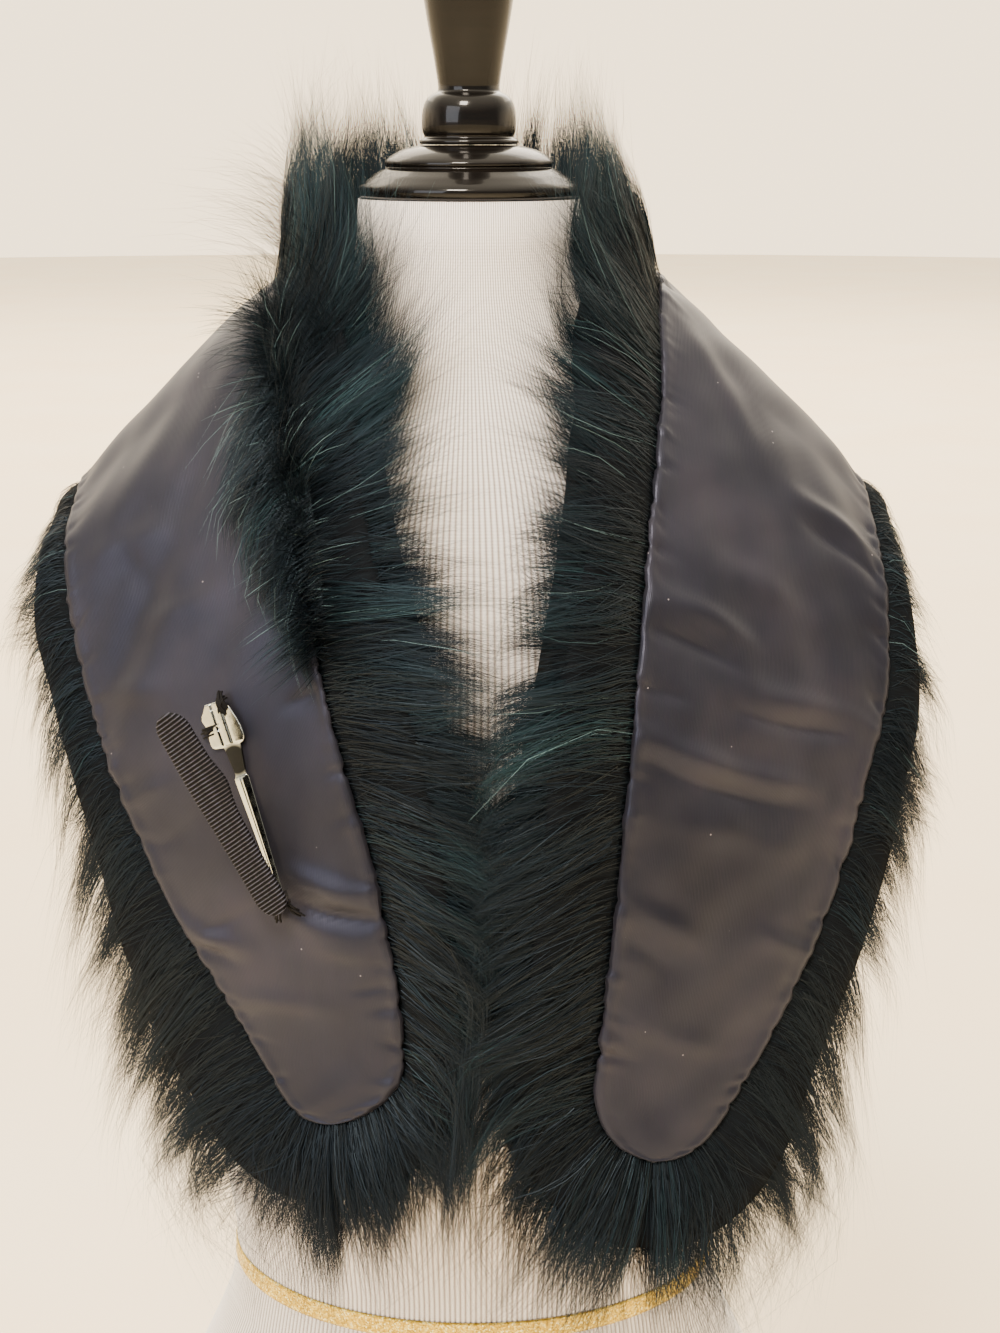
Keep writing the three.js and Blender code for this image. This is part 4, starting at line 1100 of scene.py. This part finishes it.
def edgeHair(side, edge, seed):
    wrap = wraps[side]
    settings = hair[edge]
    rng = np.random.default_rng(seed)
    short = {"inner": "in", "outer": "out"}[edge]
    run = wrap[edge + "Run"]
    stations = np.arange(stationCount + 1)
    locks, each = settings["locks"], settings["each"]
    # more locks where the fur is long or fans out round the tip
    weight = np.gradient(run) * (0.5 + wrap[short + "Fur"] / 60) * (3 - 2 * wrap["narrow"])
    share = np.cumsum(weight) / weight.sum()
    lockStation = np.interp(rng.random(locks), share, stations)
    lockAt = np.interp(lockStation, stations, run)
    lockLayer = lockLayers(rng, locks)
    big = 0.5 + 0.5 * np.sin(lockAt / 27 * 2 * math.pi + 1.5 * np.sin(lockAt / 61))
    lockLong = (0.88 + 0.18 * big) * rng.uniform(0.8, 1.18, locks)
    lockSweep = rng.normal(0, hair["lockSweep"], locks)
    lockCurl = rng.normal(0, hair["lockCurl"], locks)
    lockTone = settings["tone"] + rng.normal(0, settings["toneSpread"], locks)
    lockTone += 0.07 * np.sin(lockAt / 37 + seed)
    lockTone -= 0.1 * between(7, 11, np.interp(lockAt, run, wrap["place"]))
    lock = np.repeat(np.arange(locks), each)
    count = len(lock)
    rootAt = lockAt[lock] + rng.normal(0, hair["rootSpread"], count)
    rootAt = np.abs(rootAt)
    rootAt = run[-1] - np.abs(run[-1] - rootAt)
    rootLayer = np.clip(lockLayer[lock] + rng.normal(0, hair["rootLayer"], count), -1, 1)
    kind = rng.random(count)
    guard = kind < hair["guardShare"]
    fine = (kind > 1 - hair["fineShare"]) | guard
    end = lockLong[lock] * np.where(rng.random(count) < 0.3, rng.uniform(0.5, 0.85, count),
                                    rng.uniform(0.85, 1.08, count))
    end = np.where(fine, lockLong[lock] * (1 + 0.5 * rng.random(count) ** 1.6), end)
    start = rng.uniform(-0.16, 0.12, count)
    start = np.where(end < 0.7, start + 0.1, start)
    near = 1 - between(run[-1] - 70, run[-1], rootAt)
    lift = np.where(guard, rng.uniform(0, 3, count), rng.normal(0, 0.4, count))
    lean = rng.normal(0, 3, locks)[lock] + rng.normal(0, np.where(fine, 4, 1.5))
    drift = rng.normal(0, 1, (count, 3)) * np.where(guard, 2.4, 1.5)[:, None]
    paths = np.zeros((count, knots, 3))
    along = np.zeros((count, knots))
    for k in range(knots):
        t = k / (knots - 1)
        pull = hair["pull"] * t**1.4 * np.where(guard, 0.4, 1)
        reach = start + (end - start) * t
        at = rootAt + (lockAt[lock] - rootAt) * pull
        sweep = atStation(wrap[short + "Sweep"], np.interp(at, run, stations))
        forward = np.maximum(reach, 0)
        at = at + ((sweep + lockSweep[lock]) * forward**(1.3 if edge == "inner" else 1.8)
                   + lockCurl[lock] * np.sin(math.pi * forward)) * near
        station = np.interp(np.clip(at, 0.01, run[-1]), run, stations)
        layer = rootLayer + (lockLayer[lock] - rootLayer) * pull
        height = pileHeight(wrap, edge, station, reach, layer) + lift * forward
        paths[:, k] = furAt(wrap, edge, station, reach, height, lean * t) + drift * t**1.6
        along[:, k] = np.clip((reach + 0.1) / 1.2, 0.02, 0.98)
    paths = clearOfForm(paths, 1.0 + 0.8 * rng.random((count, 1)))
    paths = partFur(wrap["sign"], paths, parting["give"] * rng.random((count, 1)) * 2)
    tone = np.clip(lockTone[lock] + rng.normal(0, 0.04, count), 0.01, 0.88)
    pale = rng.random(count) < 0.65 * between(10.5, 6, atStation(wrap["place"], lockStation[lock]))
    tone = np.where(guard & pale, rng.uniform(0.86, 0.98, count), tone)
    wide = np.where(fine, hair["fineWide"], hair["wide"] * rng.uniform(0.7, 1.25, count))
    wide = np.where(guard, hair["guardWide"], wide)
    station = np.interp(np.clip(rootAt, 0, run[-1]), run, stations)
    facing = atStation(wrap["normal"], station) * np.sign(rootLayer + 0.35)[:, None]
    facing = facing + rng.normal(0, hair["twist"], (count, 3))
    name = f"fur_{side}_{edge}"
    mesh = ribbonMesh(name, paths, facing[:, None], wide, tone, along)
    return setPiece(name, mesh, furLook)


for side in ("left", "right"):
    makeUnderfur(side)
print("underfur made")
loose = [make(wraps["left"], seed) for make, seed in ((fallenHair, 50), (crestHair, 60),
                                                      (wispHair, 70))]
looseParts = [np.concatenate(parts) for parts in zip(*loose)]
looseParts[1] = looseParts[1][:, None]
setPiece("fur_left_fallen", ribbonMesh("fur_left_fallen", *looseParts), furLook)
for number, (side, edge) in enumerate([("left", "inner"), ("left", "outer"), ("right", "inner"),
                                       ("right", "outer")]):
    edgeHair(side, edge, 40 + number)
    print("hair made:", side, edge)

clip = {
    "origin": (-75.6851, -136.7762, 470.1656),
    "along": (-0.34214269751245396, 0.24428876267292327, 0.9073375198737423),
    "away": (-0.4268295274156517, -0.9006487870156622, 0.08153721220000132),
    "skew": -2, "pinHeight": 3.6, "openAngle": 16, "pinRadius": 0.8, "pinLong": 6.4,
    "knuckleRadius": 1.9, "knuckleLong": 4.2, "threadRadius": 0.45,
    "metalThick": 0.7, "armLong": 95, "armWide": 16, "armThick": 3, "armTail": 5, "armRise": 2.7,
    "ribPitch": 1.65, "ribDeep": 0.22, "ribSlant": 0.22,
}
metalOutline = [
    (-2, 1.6, 1.6), (4, 1.7, 1.7), (50, 3.6, 3.6), (51.4, 3.5, 3.5), (52, 2.9, 2.9),
    (53, 2.4, 2.6), (65, 3.6, 4.6), (65.6, 8.0, 7.0), (66.4, 8.6, 7.6), (68, 9, 8.2),
    (72, 8.6, 8), (73.1, 6.2, 7.7), (73.6, 5.2, 7.6), (74.2, 6.2, 7.5), (75, 8.4, 7.4),
    (78, 9.4, 6.4), (80, 8.8, 5.8), (81, 7.6, 5.2), (81.4, 7.4, 1.6), (84, 5.4, 0.6),
]


def clipPlace():
    along, away = Vector(clip["along"]), Vector(clip["away"])
    across = away.cross(along)
    turned = Matrix((along, across, away)).transposed().to_4x4()
    return Matrix.Translation(Vector(clip["origin"]) * mm) @ turned


holder = clipPlace()
metalPlace = holder @ Matrix.Rotation(math.radians(clip["skew"]), 4, "Z")
armPlace = (holder @ Matrix.Translation((0, 0, clip["pinHeight"] * mm))
            @ Matrix.Rotation(-math.radians(clip["openAngle"]), 4, "Y"))


def makeMetalArm():
    table = np.array(metalOutline, float)
    places = np.unique(np.concatenate([np.linspace(-2, 84, 130), table[:, 0]]))

    def place(u, v):
        x = np.interp(u, np.linspace(0, 1, len(places)), places)
        left, right = np.interp(x, table[:, 0], table[:, 1]), np.interp(
            x, table[:, 0], table[:, 2])
        y = -right + v * (left + right)
        prong = between(1, 4, x) * (1 - between(50.5, 52.5, x))
        half = np.maximum((left + right) / 2, 0.1)
        off = (y - (left - right) / 2) / half
        # the prong is a folded channel, the head has two pressed lines and lifted wings
        z = prong * (1.0 * (1 - np.abs(off) ** 1.1) - 0.3 * np.exp(-(off / 0.13) ** 2))
        head = between(65.2, 66.2, x)
        z = z + head * (1.0 - 0.5 * np.exp(-((y - 2.6) / 0.6) ** 2)
                        - 0.5 * np.exp(-((y + 1.9) / 0.6) ** 2)
                        - 0.02 * np.abs(y) ** 1.3 + 0.005 * (x - 66) * np.sign(y + 1.9))
        return np.stack([x, y, z + clip["metalThick"]], 1)

    bm = shapedGrid(len(places) - 1, 36, place)
    if sum(face.normal.z for face in bm.faces) < 0:
        bmesh.ops.reverse_faces(bm, faces=bm.faces)
    bmesh.ops.solidify(bm, geom=bm.faces, thickness=clip["metalThick"] * mm)
    bmesh.ops.recalc_face_normals(bm, faces=bm.faces)
    for side in (-1, 1):
        ear = bmesh.ops.create_cube(bm, size=1, matrix=Matrix.Translation(
            (0, side * 2.8 * mm, 2.5 * mm)) @ Matrix.Diagonal((4 * mm, 0.8 * mm, 5 * mm, 1)))
        edges = {edge for vert in ear["verts"] for edge in vert.link_edges}
        bmesh.ops.bevel(bm, geom=list(edges), offset=0.25 * mm, segments=2, affect="EDGES",
                        profile=0.5, material=-1)
    bmesh.ops.transform(bm, matrix=metalPlace, verts=bm.verts)
    return meshFrom("clip_plate", bm)


def crossRod(radius, long, rounding, segments):
    # a rod across the clip with rounded rims
    bm = bmesh.new()
    bmesh.ops.create_cone(bm, cap_ends=True, segments=24, radius1=radius * mm,
                          radius2=radius * mm, depth=long * mm,
                          matrix=Matrix.Rotation(math.pi / 2, 4, "X"))
    rims = [edge for edge in bm.edges if abs(edge.verts[0].co.y - edge.verts[1].co.y) < 1e-7]
    bmesh.ops.bevel(bm, geom=rims, offset=rounding * mm, segments=segments, affect="EDGES",
                    profile=0.5, material=-1)
    return bm


def makePin():
    bm = crossRod(clip["pinRadius"], clip["pinLong"], 0.25, 3)
    place = holder @ Matrix.Translation((0, 0, clip["pinHeight"] * mm))
    bmesh.ops.transform(bm, matrix=place, verts=bm.verts)
    return meshFrom("clip_rivet", bm)


def ribbonWidth(x, side):
    # the ribbon is wrapped loosely: fullest on its right above the middle, tighter at the foot
    share = np.interp(x, [-5, 12, 34, 50, 58, 66, 78, 90], [0.9, 0.88, 0.92, 1, 1.03, 1.03, 1, 0.98])
    bulge = np.exp(-((x - 56) / 8) ** 2) * 0.26
    return share + np.where(side < 0, bulge, 0)


def makeRibbonArm():
    # a bar with round ends; ribs cross it with a slight slant
    radius = clip["armWide"] / 2
    low = -clip["armTail"]
    high = low + clip["armLong"]

    def place(u, v):
        x = low + u * clip["armLong"]
        turn = v * 2 * math.pi
        inset = np.maximum(np.maximum(low + radius - x, x - (high - radius)), 0)
        wide = np.sqrt(np.maximum(radius**2 - inset**2, 0)) * ribbonWidth(x, np.cos(turn))
        flatY = np.sign(np.cos(turn)) * np.abs(np.cos(turn)) ** 0.35
        flatZ = np.sign(np.sin(turn)) * np.abs(np.sin(turn)) ** 0.55
        y = wide * flatY
        crown = 0.35 * (1 - (y / radius) ** 2)
        rib = clip["ribDeep"] * np.sin((x + clip["ribSlant"] * y) / clip["ribPitch"] * 2 * math.pi)
        thin = np.minimum(1, (wide / 3) ** 0.5)
        z = (clip["armThick"] / 2 - clip["ribDeep"] + rib) * flatZ * thin
        z = z + np.where(flatZ > 0, crown * flatZ, 0) + clip["armRise"] + clip["armThick"] / 2
        y = y + rib * 0.5 * flatY * (wide > 1)
        return np.stack([x, y, z], 1)

    def uvPlace(u, v):
        x = low + u * clip["armLong"]
        inset = np.maximum(np.maximum(low + radius - x, x - (high - radius)), 0)
        wide = np.sqrt(np.maximum(radius**2 - inset**2, 0))
        turn = np.cos(v * 2 * math.pi)
        y = wide * np.sign(turn) * np.abs(turn) ** 0.35
        return (x + clip["ribSlant"] * y) / clip["ribPitch"] + 0.25, v * 3

    bm = shapedGrid(480, 24, place, uvPlace, merge=1e-5)
    bmesh.ops.transform(bm, matrix=armPlace, verts=bm.verts)
    return meshFrom("clip_bar", bm)


def makeKnuckle():
    bm = crossRod(clip["knuckleRadius"], clip["knuckleLong"], 0.3, 2)
    bmesh.ops.create_cube(bm, size=1, matrix=Matrix.Translation((0, 0, 2.3 * mm))
                          @ Matrix.Diagonal((2.4 * mm, 4 * mm, 1.8 * mm, 1)))
    bmesh.ops.transform(bm, matrix=armPlace, verts=bm.verts)
    return meshFrom("clip_knuckle", bm)


neckMiddle = metalPlace @ Vector((59 * mm, 0, 1.2 * mm))
clip["neckAt"] = tuple(neckMiddle)
nickelLook = nickelMaterial()
setPiece("clip_plate", makeMetalArm(), nickelLook, replaces=["clip_metal_arm"])
setPiece("clip_rivet", makePin(), nickelLook, replaces=["clip_pin"])
setPiece("clip_bar", makeRibbonArm(), grosgrainLook, body=armBody,
         replaces=["clip_ribbon_arm"])
setPiece("clip_knuckle", makeKnuckle(), nickelLook, body=armBody, smooth=False)


def stitchLoops(centre, reach, count, seed, tall=1.8):
    # short loops of thread that dip into the cloth at both ends
    rng = np.random.default_rng(seed)
    loops = []
    for _ in range(count):
        turn = rng.uniform(-0.6, 0.6)
        x, y = np.array(centre) + rng.normal(0, 0.8, 2)
        dx, dy = reach[0] + rng.normal(0, 0.6), reach[1] + rng.normal(0, 0.6)
        high = tall + rng.uniform(-0.3, 0.5)
        loops.append([(x, y, -0.4), (x + 0.1 * dx + turn, y + 0.1 * dy, high),
                      (x + 0.6 * dx, y + 0.6 * dy + turn, high + 0.2),
                      (x + dx, y + dy, -0.4)])
    return loops


stitches = (stitchLoops((86.5, -2.2), (-9.5, -1.6), 13, 5, 2.3)
            + stitchLoops((84, -3.4), (-6, 3.2), 5, 9, 2.4)
            + stitchLoops((73.6, 4.4), (-0.4, 7), 8, 6, 1.9)
            + stitchLoops((-3.5, 3), (-5.5, 4), 6, 7, 1.2)
            + stitchLoops((-4, -2), (-5, -3), 6, 8, 1.2))
threads("clip_stitches", stitches, clip["threadRadius"], cottonLook, metalPlace)
print("clip made")

studio = {"floor": "#fff1d6", "air": "#fff1d8", "low": "#ffe6c0", "dim": "#64615e", "airStrength": 3.0}


def makeStudio():
    bm = bmesh.new()
    bmesh.ops.create_circle(bm, cap_ends=True, segments=96, radius=12)
    floor = bpy.data.objects.new("floor", meshFrom("floor", bm))
    scene.collection.objects.link(floor)
    material, tree = startMaterial("pale matt floor paint")
    place = objectPlace(tree)
    mottle = addNode(tree, "TexNoise", {"Vector": place, "Scale": 3.0})
    colour = rampOf(tree, mottle.outputs["Fac"], [
        (0.3, studio["floor"]), (0.7, "#feeccd")])
    endMaterial(tree, {"Base Color": colour, "Roughness": 0.9})
    floor.data.materials.append(material)
    floor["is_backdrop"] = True
    # the air is bright behind the form and above it, dim on the camera's side
    world = bpy.data.worlds.new("studio")
    world.use_nodes = True
    tree = world.node_tree
    tree.nodes.clear()
    way = addNode(tree, "TexCoord")
    axes = addNode(tree, "SeparateXYZ", {0: way.outputs["Generated"]})
    back = rangeOf(tree, axes.outputs["Y"], (-0.3, 0.45), (0, 1))
    high = rangeOf(tree, axes.outputs["Z"], (0.3, 0.95), (0, 0.9))
    bright = addNode(tree, "Math", {0: back, 1: high}, operation="MAXIMUM")
    colour = mixOf(tree, bright.outputs[0], srgb(studio["dim"]), srgb(studio["air"]))
    low = rangeOf(tree, axes.outputs["Z"], (0.06, 0.3), (1.0, 0.0))
    aloft = rangeOf(tree, axes.outputs["Z"], (0.06, 0.3), (1.15, 1.0))
    behind = addNode(tree, "Math", {0: back, 1: low}, operation="MULTIPLY")
    tinted = mixOf(tree, behind.outputs[0], colour, srgb(studio["low"]))
    power = addNode(tree, "Math", {0: aloft, 1: studio["airStrength"]},
                    operation="MULTIPLY")
    air = addNode(tree, "Background", {"Color": tinted, "Strength": power.outputs[0]})
    addNode(tree, "OutputWorld", {"Surface": air.outputs[0]})
    scene.world = world
    for name, place, aim, size, power, colour in (
            ("key", (-0.35, -1.3, 2.2), (0, 0, 0.5), 0.55, 84, "#fff0dc"),
            ("fill", (-1.3, -1.5, 1.3), (0, 0, 0.5), 1.2, 23, "#f3f6ff"),
            ("back", (0.3, 1.6, 1.8), (0, 0, 0.5), 1.2, 10, "#fff8ee"),
            ("floor wash", (0, 4.8, 2.7), (0, 4.9, 0), 6, 420, "#ffecd0")):
        light = bpy.data.objects.new(name, bpy.data.lights.new(name, "AREA"))
        light.data.size = size
        light.data.energy = power
        light.data.color = srgb(colour)[:3]
        light.location = place
        light.rotation_mode = "QUATERNION"
        toward = Vector(aim) - Vector(place)
        light.rotation_quaternion = toward.to_track_quat("-Z", "Y")
        scene.collection.objects.link(light)


makeStudio()
print("studio made")

faces = {o.name: sum(len(p.vertices) - 2 for p in o.data.polygons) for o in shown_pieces()}
print("triangles:", sum(faces.values()), faces)
